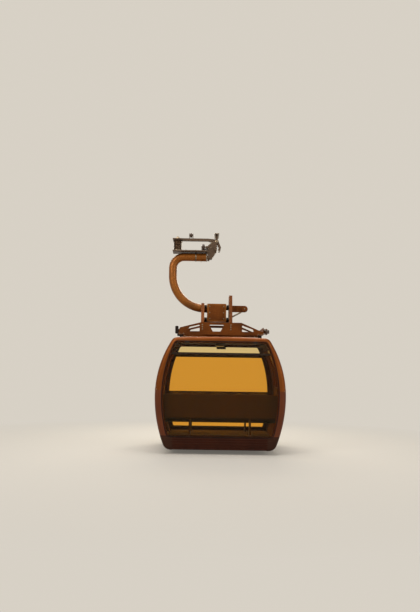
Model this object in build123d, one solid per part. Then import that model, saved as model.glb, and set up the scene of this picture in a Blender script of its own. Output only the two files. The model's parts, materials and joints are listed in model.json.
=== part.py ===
from build123d import *
import os
from math import atan2, cos, degrees, radians, sin, sqrt

# A cable car cabin with its roof frame, C-shaped hanger and detachable grip.
# Millimetres. +X is to the right seen along the travel direction, +Y is the travel direction, +Z is up.
# The origin lies on the haul rope's axis, in the middle of the grip's jaws.

# Rope and overall heights, measured up from the cabin's bottom edge
rope_radius = 25
rope_height = 3850
cabin_x = 80  # the cabin's centre plane beside the rope, so that its weight hangs under the rope
cabin_length = 2000

# Outline of the cabin seen from its end: two arcs a side that meet upright at the belt
belt_half = 1200
belt_height = 970
upper_radius = 1950
lower_radius = 2450
roof_edge = 2058
roof_crown = 20
roof_corner = 130
foot_corner = 150

# End frames, bent profiles with a rounded outer edge
end_depth = 150
end_round = 70
end_flange = 60
belt_seam = 1100
foot_moulding = 130
skirt_wall = 40
skirt_groove = 12
skirt_groove_depth = 8
skirt_grooves = 5

# End windows: a big pane below a bar and a tilting vent pane above it
window_rim = 150  # from the cabin's widest point to the window's
window_half = belt_half - window_rim
window_upper_radius = upper_radius + 320  # flatter sides than the cabin's own
window_lower_radius = lower_radius + 80
window_foot = 265
window_top = roof_edge - 93
window_corner = 55
glass_overlap = 20
glass = 8
glass_set = 2
vent_bar_height = window_top - 205
vent_bar = 34
vent_bar_depth = 40
vent_gap = 20

# Side walls
wall = 45
cantrail_foot = roof_edge - 108
cantrail_width = 114
sill_top = 96
sill_depth = 100
side_window_foot = belt_seam + 30
side_window_top = cantrail_foot - 70
side_post = 40
side_frame_end = 30
roof_under = roof_edge - 55

# Sliding doors on the left side, two leaves that run outside the fixed wall
door_half = 410
door_travel = 400
leaf = 35
leaf_gap = 8
leaf_overlap = 20
leaf_split = 6
leaf_border = 55
leaf_window_foot = 700
fixed_wall = 32
rail_neck = 6
rail_head = 14
rail_head_height = 8
rail_neck_height = 20
rail_fit = 0.4

# Floor and underframe
floor_top = 200
floor = 50
beam_height = 100
beam = 60
beam_places = (-700, -250, 250, 700)
stringer_half = 550

# Benches across both ends
bench_side_clear = 18
bench_sheet = 22
bench_back_top = 1010
bench_back_lean = 70
bench_back_clear = 60
seat_front = 450
seat_height = 590
bench_lip = 90
bench_leg_half = 560
bench_leg = 30
pad_count = 5
pad_margin = 22  # from the bench's end to its first pad
pad_gap = 17
seat_pad = 55
seat_pad_gap = 12
back_pad = 42
back_pad_height = 325
pad_edge = 14

# Ceiling lamp
lamp_width = 180
lamp_length = 320
lamp_drop = 62

# Suspension frame on the roof
plate_y = 450
plate = 12
plate_foot = roof_edge + 80
foot_from_cantrail = 45
foot_width = 120
foot_length = 110
foot_plate = 12
mount_radius = 34
plate_tip = 62  # height of the plate's ends
plate_tip_rise = 70
right_shoulder = 170
hole_lift = 62  # from the plates' foot to their holes
hole_margin = 46
hole_round = 14
centre_hole_foot = 72
cheek_inner = 240
cheek_width = 60
cheek_sheet = 12
cheek_foot = plate_foot + 77
cheek_shoulder = plate_foot + 234
cheek_top_left = plate_foot + 627
cheek_top_right = plate_foot + 782
cheek_top_half = 175

# Hanger: a round tube bent to a C, from the box on the roof frame to the hub under the grip
box_half = 186
box_depth = 330
box_foot = cheek_shoulder + 37
box_top = cheek_top_left - 8
damper_radius = 38
tube_radius = 78
arm_height = box_top - 84
arm_clear = 8
swing_height = rope_height - 167
column_x = -870
lower_bend = 640
upper_bend = 220
hub_left = -430
hub_right = -205
hub_radius = 80
hub_wall = 12
pin_radius = 32
pin_fit = 0.06

# Door control lever on the right cheek, and the guide roller at the frame's right end
lever_height = box_top - 80
lever_depth = 130
lever_root = 90  # half width of its foot on the cheek
control_roller_x = 550
control_roller_radius = 52
control_roller_width = 44
strut_radius = 15
strut_foot = box_foot + 81
strut_end_x = 480
guide_roller_reach = 160  # beyond the frame's right foot
guide_roller_lift = 60  # above the plates' foot
guide_roller_radius = 62
guide_roller_width = 70
bracket_half = 28
guide_bolt_radius = 12
bracket_sheet = 10
buffer_depth = 60
buffer_width = 72
buffer_height = 145

# Grip
jaw_length = 280
jaw_outer = 62
fixed_jaw = (110, 140)  # start and turn round the rope in degrees, from +X
lever_jaw_length = 240
lever_jaw = (-65, 100)
lever_pivot_x = -20
lever_pivot_z = 140
lever_pin_radius = 18
lever_boss = 42
lever_thick = 64
ear_gap = 6
ear = 22
lever_end_x = -875
lever_arm = 50
lever_arm_z = 172
spring_x = -780
spring_y = 88
spring_radius = 80
spring_turns = 7
base_plate_foot = -78
base_plate = 20
base_half = 172
running_x = -275
running_y = 110
running_z = 14
running_radius = 58
running_width = 50
axle_radius = 15
axle_fit = 0.05
coupling_x = -520
coupling_z = 262
coupling_radius = 45
coupling_width = 50
drive_plate_length = 480
drive_plate_width = 92
drive_plate = 12
drive_plate_foot = 252

side_gap = 6  # free space between a turning or swinging piece and its neighbour
seat = 0.3  # space at a piece that rests on another

half_length = cabin_length / 2
inner_end = half_length - end_depth
swing_z = swing_height - rope_height


def prism(face, y0, y1):
    """A face drawn in X and height, carried along Y from y0 to y1."""
    return extrude(Plane.XZ.offset(-y1) * face, y1 - y0, dir=(0, -1, 0))


def slab(x0, x1, y0, y1, z0, z1):
    """A block between two corners."""
    return Pos((x0 + x1) / 2, (y0 + y1) / 2, (z0 + z1) / 2) * Box(x1 - x0, y1 - y0, z1 - z0)


def bar_x(radius, x0, x1, y, z):
    """A round bar along X."""
    return Pos((x0 + x1) / 2, y, z) * Rot(0, 90, 0) * Cylinder(radius, x1 - x0)


def bar_y(radius, x, y0, y1, z):
    """A round bar along Y."""
    return Pos(x, (y0 + y1) / 2, z) * Rot(90, 0, 0) * Cylinder(radius, y1 - y0)


def bar_z(radius, x, y, z0, z1):
    """A round bar along Z."""
    return Pos(x, y, (z0 + z1) / 2) * Cylinder(radius, z1 - z0)


def in_cabin(shape):
    """From the cabin's own place, bottom edge at 0 and centre plane at 0, to its place under the rope."""
    return Pos(cabin_x, 0, -rope_height) * shape


def under_rope(shape):
    """From heights above the cabin's bottom edge to heights from the rope, with X unchanged."""
    return Pos(0, 0, -rope_height) * shape


def mirrored(shape):
    """The same shape on the other side of the cabin's centre plane."""
    return mirror(shape, Plane.YZ)


def turned(shape):
    """The same shape at the other end of the cabin."""
    return mirror(shape, Plane.XZ)


def side_x(height, inset=0, half=belt_half, upper=upper_radius, lower=lower_radius):
    """Half width of an outline at a height, inset from it at a right angle."""
    radius = upper if height > belt_height else lower
    return half - radius + sqrt((radius - inset) ** 2 - (height - belt_height) ** 2)


def side_arcs(inset, low, high, half=belt_half, upper=upper_radius, lower=lower_radius):
    """The right side of an outline from a low to a high point, as one arc below the belt and one above."""
    spans = []
    if low < belt_height:
        spans.append((low, min(high, belt_height)))
    if high > belt_height:
        spans.append((max(low, belt_height), high))
    arcs = []
    for a, b in spans:
        middle = (a + b) / 2
        points = [(side_x(h, inset, half, upper, lower), h) for h in (a, middle, b)]
        arcs.append(ThreePointArc(*points))
    return arcs


def outline(inset, low, high, crown=0, half=belt_half, upper=upper_radius, lower=lower_radius):
    """A whole cross-section: a flat foot, two barrel sides and a flat or crowned top."""
    right = side_arcs(inset, low, high, half, upper, lower)
    left = [mirror(arc, Plane.YZ) for arc in right]
    top_right = side_x(high, inset, half, upper, lower)
    foot_right = side_x(low, inset, half, upper, lower)
    top = (
        ThreePointArc((top_right, high), (0, high + crown), (-top_right, high))
        if crown
        else Line((top_right, high), (-top_right, high))
    )
    foot = Line((-foot_right, low), (foot_right, low))
    return make_face(right + [top] + left + [foot])


def wall_face(inset, thick, low, high):
    """The cross-section of a piece of the right wall, cut off level at both ends."""
    outer = side_arcs(inset, low, high)
    inner = side_arcs(inset + thick, low, high)
    ends = [
        Line((side_x(h, inset), h), (side_x(h, inset + thick), h))
        for h in (low, high)
    ]
    return make_face(outer + inner + ends)


def rounded(face, high_radius, low_radius):
    """An outline with its two top corners and its two bottom corners rounded."""
    corners = face.vertices().sort_by(Axis.Y)
    face = fillet(corners[-2:], high_radius)
    corners = face.vertices().sort_by(Axis.Y)
    return fillet(corners[:2], low_radius)


def save(name, shape):
    """Writes one node's file."""
    solids = shape.solids()
    whole = solids[0] if len(solids) == 1 else Compound(children=list(solids))
    export_step(whole, "parts/" + name + ".step")
    print(name, len(solids), round(sum(s.volume for s in solids) / 1e6, 2))


os.makedirs("parts", exist_ok=True)

# Widths that follow from the outline
fixed_inset = leaf + leaf_gap
foot_split = side_x(0) - foot_moulding
sill_inner = side_x(0) - sill_depth
cantrail_inner = side_x(roof_under) - cantrail_width
bench_half = side_x(seat_height - bench_lip, fixed_inset + fixed_wall) - bench_side_clear
pad_pitch = 2 * (bench_half - pad_margin) / pad_count
pad_width = pad_pitch - pad_gap
foot_left = cabin_x - cantrail_inner + foot_from_cantrail
foot_right = cabin_x + cantrail_inner - foot_from_cantrail
guide_roller_x = foot_right + guide_roller_reach
wide = belt_half + cabin_x  # beyond the cabin's sides

# Whole cross-section of the cabin, and the two solids that trim what reaches a rounded corner
section = rounded(outline(0, 0, roof_edge, roof_crown), roof_corner, foot_corner)
middle = prism(section, -inner_end, inner_end)
end_block = prism(section, inner_end, half_length)
end_block = fillet(end_block.faces().sort_by(Axis.Y)[-1].edges(), end_round)


# End frame: a hollow bent profile, open at the window, with a seat for the glass
def window_outline(grow):
    """The end window's outline, grown all round."""
    face = outline(
        0,
        window_foot - grow,
        window_top + grow,
        half=window_half + grow,
        upper=window_upper_radius + grow,
        lower=window_lower_radius + grow,
    )
    return rounded(face, window_corner + grow, window_corner + grow)


window_hole = window_outline(0)
pane_face = window_outline(glass_overlap)
glass_back = half_length - glass_set - glass
hollow = prism(outline(end_flange, floor_top - floor, roof_under), inner_end, half_length - end_flange)
end_frame = end_block - hollow
end_frame -= prism(window_hole, inner_end, half_length)
end_frame -= prism(pane_face, glass_back, half_length)

arch = end_frame & slab(-wide, wide, 0, half_length, belt_seam, rope_height)
corners = end_frame & slab(-wide, wide, 0, half_length, window_foot, belt_seam)
foot = end_frame & slab(-wide, wide, 0, half_length, 0, window_foot)
skirt = foot & slab(-foot_split, foot_split, 0, half_length, 0, window_foot)
skirt -= slab(-foot_split, foot_split, inner_end, half_length - skirt_wall, 0, floor_top - floor)
groove_step = window_foot / (skirt_grooves + 1)
for row in range(1, skirt_grooves + 1):
    z = row * groove_step - skirt_groove / 2
    skirt -= slab(
        -foot_split, foot_split, half_length - skirt_groove_depth, half_length, z, z + skirt_groove
    )
bumper = foot & slab(foot_split, wide, 0, half_length, 0, window_foot)

bar_low = vent_bar_height - vent_bar / 2
bar_high = vent_bar_height + vent_bar / 2
bar_face = window_hole & Pos(0, vent_bar_height) * Rectangle(2 * wide, vent_bar)
vent = prism(bar_face, glass_back - vent_bar_depth, glass_back)
half_sheet = Rectangle(2 * wide, 2 * belt_half)
pane_low = pane_face & Pos(0, vent_bar_height - vent_gap / 2 - belt_half) * half_sheet
pane_high = pane_face & Pos(0, vent_bar_height + vent_gap / 2 + belt_half) * half_sheet
panes = prism(pane_low, glass_back, glass_back + glass) + prism(pane_high, glass_back, glass_back + glass)

for end, place in (("rear", lambda shape: shape), ("front", turned)):
    save("end_arch_" + end, in_cabin(place(arch)))
    save("end_skirt_" + end, in_cabin(place(skirt)))
    save("end_glass_" + end, in_cabin(place(panes)))

both_ends = [shape for half in (corners, bumper + mirrored(bumper), vent) for shape in (half, turned(half))]
save("corner_panels", in_cabin(both_ends[0] + both_ends[1]))
save("corner_bumpers", in_cabin(both_ends[2] + both_ends[3]))
save("vent_bars", in_cabin(both_ends[4] + both_ends[5]))

# Roof shell between two rounded cantrails
roof = middle & slab(-cantrail_inner, cantrail_inner, -half_length, half_length, roof_under, rope_height)
save("roof_shell", in_cabin(roof))
cantrail = middle & slab(cantrail_inner, wide, -half_length, half_length, cantrail_foot, rope_height)
save("cantrail_right", in_cabin(cantrail))

# The left cantrail carries the doors' rail, a T-shaped tongue that points down into the leaves
leaf_top = cantrail_foot - leaf_gap
leaf_foot = sill_top + leaf_gap
rail_x = side_x(leaf_top - rail_neck_height / 2, leaf / 2)
rail_foot = cantrail_foot - rail_neck_height
rail = slab(rail_x - rail_neck / 2, rail_x + rail_neck / 2, -inner_end, inner_end, rail_foot, cantrail_foot)
rail += slab(
    rail_x - rail_head / 2,
    rail_x + rail_head / 2,
    -inner_end,
    inner_end,
    rail_foot - rail_head_height,
    rail_foot,
)
save("cantrail_left", in_cabin(mirrored(cantrail + rail)))

# Side sills, the left one with the tongue that guides the leaves' lower edge
sill = middle & slab(sill_inner, wide, -half_length, half_length, 0, sill_top)
guide_x = side_x(leaf_foot, leaf / 2)
guide = slab(
    guide_x - rail_neck / 2,
    guide_x + rail_neck / 2,
    -inner_end,
    inner_end,
    sill_top,
    sill_top + rail_neck_height,
)
save("side_sills", in_cabin(sill + mirrored(sill + guide)))


# Fixed side walls
def window_slab(low, high, z0, z1):
    """A block that cuts one side window from the right wall."""
    return slab(cantrail_inner - cantrail_width, wide, low, high, z0, z1)


window_end = inner_end - side_frame_end
right_spans = [
    (-window_end, -door_half - side_post),
    (-door_half, door_half),
    (door_half + side_post, window_end),
]
frame_right = prism(wall_face(0, wall, sill_top, cantrail_foot), -inner_end, inner_end)
glass_right = []
for low, high in right_spans:
    cut = window_slab(low, high, side_window_foot, side_window_top)
    frame_right -= cut
    glass_right.append(prism(wall_face(glass_set, glass, side_window_foot, side_window_top), low, high))
save("side_frame_right", in_cabin(frame_right))
save("side_glass_right", in_cabin(Compound(children=glass_right)))

frame_left = prism(wall_face(fixed_inset, fixed_wall, sill_top, cantrail_foot), -inner_end, inner_end)
frame_left -= window_slab(-door_half, door_half, floor_top, cantrail_foot - side_post)
glass_left = []
for low, high in (right_spans[0], right_spans[2]):
    frame_left -= window_slab(low, high, side_window_foot, side_window_top)
    face = wall_face(fixed_inset + glass_set, glass, side_window_foot, side_window_top)
    glass_left.append(prism(face, low, high))
save("side_frame_left", in_cabin(mirrored(frame_left)))
save("side_glass_left", in_cabin(mirrored(Compound(children=glass_left))))

# Door leaves: a bent panel with one window, a T slot along its top and a groove along its foot
leaf_inner = leaf_split / 2
leaf_outer = door_half + leaf_overlap
leaf_panel = prism(wall_face(0, leaf, leaf_foot, leaf_top), leaf_inner, leaf_outer)
leaf_window = (leaf_inner + leaf_border, leaf_outer - leaf_border)
leaf_panel -= window_slab(*leaf_window, leaf_window_foot, side_window_top)
neck_slot = rail_neck / 2 + rail_fit
head_slot = rail_head / 2 + rail_fit
leaf_panel -= slab(
    rail_x - neck_slot, rail_x + neck_slot, leaf_inner, leaf_outer, rail_foot, leaf_top
)
leaf_panel -= slab(
    rail_x - head_slot,
    rail_x + head_slot,
    leaf_inner,
    leaf_outer,
    rail_foot - rail_head_height - rail_fit,
    rail_foot + rail_fit,
)
leaf_panel -= slab(
    guide_x - neck_slot,
    guide_x + neck_slot,
    leaf_inner,
    leaf_outer,
    leaf_foot,
    sill_top + rail_neck_height + rail_fit,
)
leaf_glass = prism(wall_face(glass_set, glass, leaf_window_foot, side_window_top), *leaf_window)
for end, place in (("rear", lambda shape: shape), ("front", turned)):
    save("door_leaf_" + end, in_cabin(place(mirrored(leaf_panel))))
    save("door_glass_" + end, in_cabin(place(mirrored(leaf_glass))))

# Underframe between the sills, and the floor on it
beam_foot = floor_top - floor - beam_height
stringer_x = (stringer_half - beam / 2, stringer_half + beam / 2)
underframe = slab(*stringer_x, -inner_end, inner_end, beam_foot, floor_top - floor)
underframe += mirrored(underframe)
for y in beam_places:
    underframe += slab(-sill_inner, sill_inner, y - beam / 2, y + beam / 2, beam_foot, floor_top - floor)
save("underframe", in_cabin(underframe))
floor_right = side_x(floor_top - floor, wall) - seat
floor_left = side_x(floor_top - floor, fixed_inset + fixed_wall) - seat
floor_end = half_length - end_flange
tray = slab(-floor_left, floor_right, -inner_end, inner_end, floor_top - floor, floor_top)
end_half = side_x(floor_top - floor, end_flange) - seat
tray += slab(-end_half, end_half, -floor_end, -inner_end, floor_top - floor, floor_top)
tray += slab(-end_half, end_half, inner_end, floor_end, floor_top - floor, floor_top)
save("floor_tray", in_cabin(tray))

# Benches: a bent sheet with a back, a seat and a front lip, on two legs that stand on the floor
back_y = half_length - end_flange - bench_back_clear
knee_y = back_y - bench_back_lean
sheet_line = [
    (back_y, bench_back_top),
    (knee_y, seat_height),
    (seat_front, seat_height),
    (seat_front, seat_height - bench_lip),
]


def strip(points, thick):
    """A sheet seen on edge: straight runs of one thickness with round bends."""
    face = Pos(*points[0]) * Circle(thick / 2)
    for (ax, ay), (bx, by) in zip(points, points[1:]):
        length = sqrt((bx - ax) ** 2 + (by - ay) ** 2)
        turn = degrees(atan2(by - ay, bx - ax))
        face += Pos((ax + bx) / 2, (ay + by) / 2) * Rot(0, 0, turn) * Rectangle(length, thick)
        face += Pos(bx, by) * Circle(thick / 2)
    return face


def cross_prism(face, x0, x1):
    """A face drawn in Y and height, carried along X from x0 to x1."""
    return extrude(Plane.YZ.offset(x0) * face, x1 - x0, dir=(1, 0, 0))


bench = cross_prism(strip(sheet_line, bench_sheet), -bench_half, bench_half)
seat_under = seat_height - bench_sheet / 2
leg_depth = (knee_y - seat_front) / 2
for x in (-bench_leg_half, bench_leg_half):
    bench += slab(x - bench_leg / 2, x + bench_leg / 2, knee_y - leg_depth, knee_y, floor_top, seat_under)

lean = degrees(atan2(bench_back_lean, bench_back_top - seat_height))
seat_pad_depth = knee_y - seat_front - 2 * seat_pad_gap - bench_sheet / 2
pad_middle = (seat_front + knee_y - bench_sheet / 2) / 2
pads = []
for place in range(pad_count):
    x = (place - (pad_count - 1) / 2) * pad_pitch
    low = fillet(Box(pad_width, seat_pad_depth, seat_pad).edges(), pad_edge)
    pads.append(Pos(x, pad_middle, seat_height + (bench_sheet + seat_pad) / 2 + seat) * low)
    up = fillet(Box(pad_width, back_pad, back_pad_height).edges(), pad_edge)
    back_middle = (knee_y + back_y) / 2
    along = Pos(x, back_middle, (seat_height + bench_back_top) / 2) * Rot(-lean, 0, 0)
    lift = (bench_back_top - seat_height - back_pad_height) / 2 - bench_sheet
    pads.append(along * Pos(0, -(bench_sheet + back_pad) / 2 - seat, lift) * up)
pads = Compound(children=pads)

for end, place in (("rear", lambda shape: shape), ("front", turned)):
    save("bench_" + end, in_cabin(place(bench)))
    save("bench_pads_" + end, in_cabin(place(pads)))

lamp = Box(lamp_width, lamp_length, lamp_drop)
lamp = fillet(lamp.faces().sort_by(Axis.Z)[0].edges(), pad_edge)
save("ceiling_lamp", in_cabin(Pos(0, 0, roof_under - lamp_drop / 2) * lamp))

# Suspension frame: two cut-out plates across the roof, two cheeks between them
cheek_outer = cheek_inner + cheek_width
shoulder_left = -cheek_outer
shoulder_right = cheek_outer + right_shoulder
tip = plate_foot + plate_tip
plate_outline = Polygon(
    (foot_left - foot_width / 2, plate_foot),
    (foot_right + foot_width / 2, plate_foot),
    (foot_right + foot_width / 2, tip),
    (foot_right - foot_width / 4, tip + plate_tip_rise / 2),
    (shoulder_right, cheek_shoulder),
    (shoulder_left, cheek_shoulder),
    (foot_left - foot_width / 4, tip + plate_tip_rise),
    (foot_left - foot_width / 2, tip),
    align=None,
)
hole_foot = plate_foot + hole_lift
hole_top = cheek_shoulder - hole_margin
left_hole = (foot_left + foot_width - hole_round, -cheek_outer - hole_margin / 2)
right_hole = (shoulder_right + hole_round, foot_right - foot_width)
plate_holes = [
    [
        (left_hole[0], hole_foot),
        (left_hole[1], hole_foot),
        (left_hole[1], hole_top),
        (left_hole[0] + hole_margin, hole_top - hole_margin),
    ],
    [
        (-centre_hole_foot, hole_foot),
        (centre_hole_foot, hole_foot),
        (2 * centre_hole_foot, hole_top),
        (-2 * centre_hole_foot, hole_top),
    ],
    [
        (right_hole[0], hole_foot),
        (right_hole[1], hole_foot),
        (right_hole[1] - hole_round, hole_foot + hole_margin),
        (right_hole[0] + hole_margin, hole_top - hole_margin / 2),
        (right_hole[0], hole_top),
    ],
]
for hole in plate_holes:
    plate_outline -= fillet(Polygon(*hole, align=None).vertices(), hole_round)
side_plate = prism(plate_outline, plate_y - plate / 2, plate_y + plate / 2)
for x in (foot_left, foot_right):
    side_plate += slab(
        x - foot_width / 2,
        x + foot_width / 2,
        plate_y - foot_length / 2,
        plate_y + foot_length / 2,
        plate_foot,
        plate_foot + foot_plate,
    )
save("frame_plate_rear", under_rope(side_plate))
save("frame_plate_front", under_rope(turned(side_plate)))

# Rubber mounts between the frame's feet and the roof
roof_solid = Pos(cabin_x, 0, 0) * middle
mounts = None
for x in (foot_left, foot_right):
    for y in (-plate_y, plate_y):
        stub = bar_z(mount_radius, x, y, roof_under + foot_plate, plate_foot) - roof_solid
        mounts = stub if mounts is None else mounts + stub
save("roof_mounts", under_rope(mounts))


# Cheeks: trapezoid channels that rise from the plates to both sides of the hanger's box
def cheek(top):
    """One channel at the right, open towards its outer side, between the two plates."""
    half = plate_y - plate / 2
    face = Polygon(
        (-half, cheek_foot),
        (half, cheek_foot),
        (half, cheek_shoulder - 2 * cheek_sheet),
        (cheek_top_half, top),
        (-cheek_top_half, top),
        (-half, cheek_shoulder - 2 * cheek_sheet),
        align=None,
    )
    pocket = offset(face, -cheek_sheet)
    shape = cross_prism(face, cheek_inner, cheek_outer)
    shape -= cross_prism(pocket, cheek_inner + cheek_sheet, cheek_outer)
    return shape


arm_hole = bar_x(tube_radius + arm_clear, -cheek_outer - side_gap, -box_half, 0, arm_height)
save("frame_cheeks", under_rope(cheek(cheek_top_right) + (mirrored(cheek(cheek_top_left)) - arm_hole)))

# Rubber dampers that hold the hanger's box between the cheeks
damper_heights = (box_foot + damper_radius + 6, box_top - damper_radius - 22)
damper_y = tube_radius + arm_clear + damper_radius
dampers = []
for side in (-1, 1):
    for y in (-damper_y, damper_y):
        for z in damper_heights:
            dampers.append(bar_x(damper_radius, *sorted((side * box_half, side * cheek_inner)), y, z))
save("box_dampers", under_rope(Compound(children=dampers)))

# Hanger
box = slab(-box_half, box_half, -box_depth / 2, box_depth / 2, box_foot, box_top)
box = fillet(box.edges().filter_by(Axis.Y), pad_edge)
save("hanger_box", under_rope(box))
tube_path = FilletPolyline(
    (-box_half, arm_height), (column_x, arm_height), (column_x, swing_height), (hub_left, swing_height),
    radius=[lower_bend, upper_bend],
)
tube_line = Plane.XZ * tube_path
tube = sweep(Plane.YZ.offset(-box_half) * Pos(0, arm_height) * Circle(tube_radius), path=tube_line)
save("hanger_tube", under_rope(tube))
hub = bar_x(hub_radius, hub_left, hub_right, 0, swing_height)
hub -= bar_x(pin_radius + pin_fit, hub_left + hub_wall, hub_right, 0, swing_height)
save("hanger_hub", under_rope(hub))

# Door control lever with its roller, and the strut below it, both bolted to the right cheek's web
web_x = cheek_inner + cheek_sheet
arm_foot = lever_height - lever_depth / 2
arm_top = lever_height + lever_depth / 2
control = slab(web_x, control_roller_x, plate, plate + bracket_sheet, arm_foot, arm_top)
control += bar_y(lever_depth / 2, control_roller_x, plate, plate + bracket_sheet, lever_height)
control += slab(web_x, web_x + bracket_sheet, -lever_root, lever_root, arm_foot, arm_top)
control += bar_y(
    control_roller_radius, control_roller_x, plate - control_roller_width - seat, plate - seat, lever_height
)
control += bar_y(
    guide_bolt_radius, control_roller_x, plate - control_roller_width, plate + bracket_sheet, lever_height
)
save("door_lever", under_rope(control))
strut_y = plate + bracket_sheet / 2
strut_line = Line((web_x, strut_y, strut_foot), (strut_end_x, strut_y, arm_foot))
strut_plane = Plane(origin=strut_line @ 0, z_dir=strut_line % 0)
strut = sweep(strut_plane * Circle(strut_radius), path=strut_line)
strut += Pos(*(strut_line @ 0)) * Sphere(strut_radius) + Pos(*(strut_line @ 1)) * Sphere(strut_radius)
strut &= slab(web_x, control_roller_x, -plate_y, plate_y, 0, arm_foot)
save("lever_strut", under_rope(strut))

# Guide roller in a fork at the right end of the frame, and a rubber buffer on each plate's left end
roller_foot = plate_foot + guide_roller_lift
roller_top = roller_foot + guide_roller_width
bracket_start = foot_right + foot_width / 2
bracket_end = guide_roller_x + 2 * guide_bolt_radius
bracket = slab(
    bracket_start, bracket_start + bracket_sheet, -plate_y + plate / 2, plate_y - plate / 2,
    plate_foot + foot_plate, roller_top + side_gap + bracket_sheet,
)
for low in (roller_foot - side_gap - bracket_sheet, roller_top + side_gap):
    bracket += slab(bracket_start, bracket_end, -bracket_half, bracket_half, low, low + bracket_sheet)
bracket += bar_z(guide_bolt_radius, guide_roller_x, 0, roller_foot - side_gap, roller_top + side_gap)
save("guide_bracket", under_rope(bracket))
guide_roller = bar_z(guide_roller_radius, guide_roller_x, 0, roller_foot, roller_top)
guide_roller = fillet(guide_roller.edges(), side_gap)
guide_roller -= bar_z(guide_bolt_radius + axle_fit, guide_roller_x, 0, roller_foot, roller_top)
save("guide_roller", under_rope(guide_roller))
buffer = fillet(Box(buffer_depth, buffer_width, buffer_height).edges(), pad_edge)
buffer_x = foot_left - (foot_width + buffer_depth) / 2
buffer = Pos(buffer_x, plate_y, plate_foot + foot_plate + buffer_height / 2) * buffer
buffers = buffer + turned(buffer)
save("frame_buffers", under_rope(buffers))


# Grip: everything from here on is measured from the rope's axis
def jaw(start, turn, length):
    """A jaw round the rope from one angle through a turn, both counted from +X."""
    ring = Circle(jaw_outer) - Circle(rope_radius)
    reach = 2 * jaw_outer
    corner_points = [(0, 0)]
    for share in (0, 0.5, 1):
        angle = radians(start + share * turn)
        corner_points.append((reach * cos(angle), reach * sin(angle)))
    wedge = Polygon(*corner_points, align=None)
    return prism(ring & wedge, -length / 2, length / 2)


casting_x = -200
boss_right = hub_right + side_gap
ear_low = lever_thick / 2 + ear_gap
ear_high = ear_low + ear
cheek_face = Polygon(
    (lever_pivot_x + lever_boss - side_gap, lever_pivot_z),
    (lever_pivot_x, lever_pivot_z + lever_boss),
    (lever_pivot_x - lever_boss, lever_pivot_z + lever_boss / 2),
    (casting_x + lever_boss, 2 * lever_boss),
    (boss_right, lever_boss),
    (boss_right, swing_z - lever_boss),
    (boss_right + 2 * lever_boss, swing_z - lever_boss),
    (-rope_radius, -jaw_outer),
    (-rope_radius - side_gap, rope_radius + side_gap),
    align=None,
)
casting = prism(cheek_face, ear_low, ear_high) + prism(cheek_face, -ear_high, -ear_low)
casting += jaw(*fixed_jaw, jaw_length)
web = Polygon(
    (-jaw_outer + side_gap, rope_radius),
    (boss_right, rope_radius),
    (boss_right, swing_z - lever_boss),
    (boss_right + 2 * lever_boss, swing_z - lever_boss),
    (-rope_radius, -jaw_outer + side_gap / 2),
    (-rope_radius - side_gap, -rope_radius - side_gap),
    align=None,
)
casting += prism(web, -ear_high, ear_high) - bar_y(rope_radius + side_gap, 0, -jaw_length, jaw_length, 0)
casting -= bar_y(lever_pin_radius, lever_pivot_x, -jaw_length, jaw_length, lever_pivot_z)
casting += bar_x(pin_radius + lever_boss, boss_right, boss_right + lever_boss, 0, swing_z)
beam_left = boss_right - 2 * ear_gap - ear
casting += slab(
    beam_left, boss_right, -running_y - 2 * axle_radius, running_y + 2 * axle_radius,
    running_z - axle_radius, running_z + axle_radius,
)
casting += slab(
    lever_end_x, boss_right, -base_half, base_half, base_plate_foot, base_plate_foot + base_plate
)
for y in (-running_y, running_y):
    axle_end = running_x - running_width / 2 - side_gap
    casting += bar_x(axle_radius, axle_end - bracket_sheet, beam_left, y, running_z)
    casting += bar_x(axle_radius + side_gap, axle_end - bracket_sheet, axle_end, y, running_z)
post_half = drive_plate_width / 4
for low, high in ((-ear_high, -ear_low), (ear_low, ear_high)):
    casting += slab(
        lever_pivot_x - post_half, lever_pivot_x + post_half, low, high, lever_pivot_z + lever_boss / 2,
        drive_plate_foot,
    )
save("grip_casting", casting)
save("swing_pin", bar_x(pin_radius, hub_left + hub_wall + 1, boss_right, 0, swing_z))
save("lever_pin", bar_y(lever_pin_radius, lever_pivot_x, -ear_high, ear_high, lever_pivot_z))
plate_half = drive_plate_width / 2
friction = slab(
    lever_pivot_x - plate_half, lever_pivot_x + plate_half, -drive_plate_length / 2, drive_plate_length / 2,
    drive_plate_foot, drive_plate_foot + drive_plate,
)
friction = fillet(friction.edges().filter_by(Axis.X), drive_plate / 3)
save("drive_plate", friction)

# Clamping springs between the casting's base plate and the lever's seat
spring_foot = base_plate_foot + base_plate
lever_under = lever_arm_z - lever_arm / 2
wire = (lever_under - spring_foot) / (2 * spring_turns)
springs = None
for y in (-spring_y, spring_y):
    pack = bar_z(spring_radius - wire, spring_x, y, spring_foot, lever_under)
    for turn in range(spring_turns):
        z = spring_foot + (2 * turn + 1) * wire
        pack += Pos(spring_x, y, z) * Torus(spring_radius - wire, wire - seat)
    springs = pack if springs is None else springs + pack
save("grip_springs", springs)

# Jaw lever: the moving jaw, its boss, the arm to the springs and the fork of the coupling roller
link = Polygon(
    (lever_pivot_x + lever_boss, lever_pivot_z),
    (jaw_outer + side_gap, rope_radius),
    (jaw_outer - side_gap, -rope_radius / 2),
    (rope_radius + side_gap, -rope_radius / 2),
    (lever_pivot_x + side_gap, lever_pivot_z - lever_boss),
    align=None,
)
link -= Circle(rope_radius + side_gap)
arm_face = Polygon(
    (lever_pivot_x, lever_pivot_z + lever_boss),
    (lever_pivot_x, lever_pivot_z - lever_boss),
    (lever_pivot_x - 4 * lever_boss, lever_under),
    (lever_end_x, lever_under),
    (lever_end_x, lever_under + lever_arm),
    (lever_pivot_x - 4 * lever_boss, lever_under + lever_arm),
    align=None,
)
lever_face = Pos(lever_pivot_x, lever_pivot_z) * Circle(lever_boss) + link + arm_face
lever = prism(lever_face, -lever_thick / 2, lever_thick / 2)
lever += jaw(*lever_jaw, lever_jaw_length)
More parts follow.
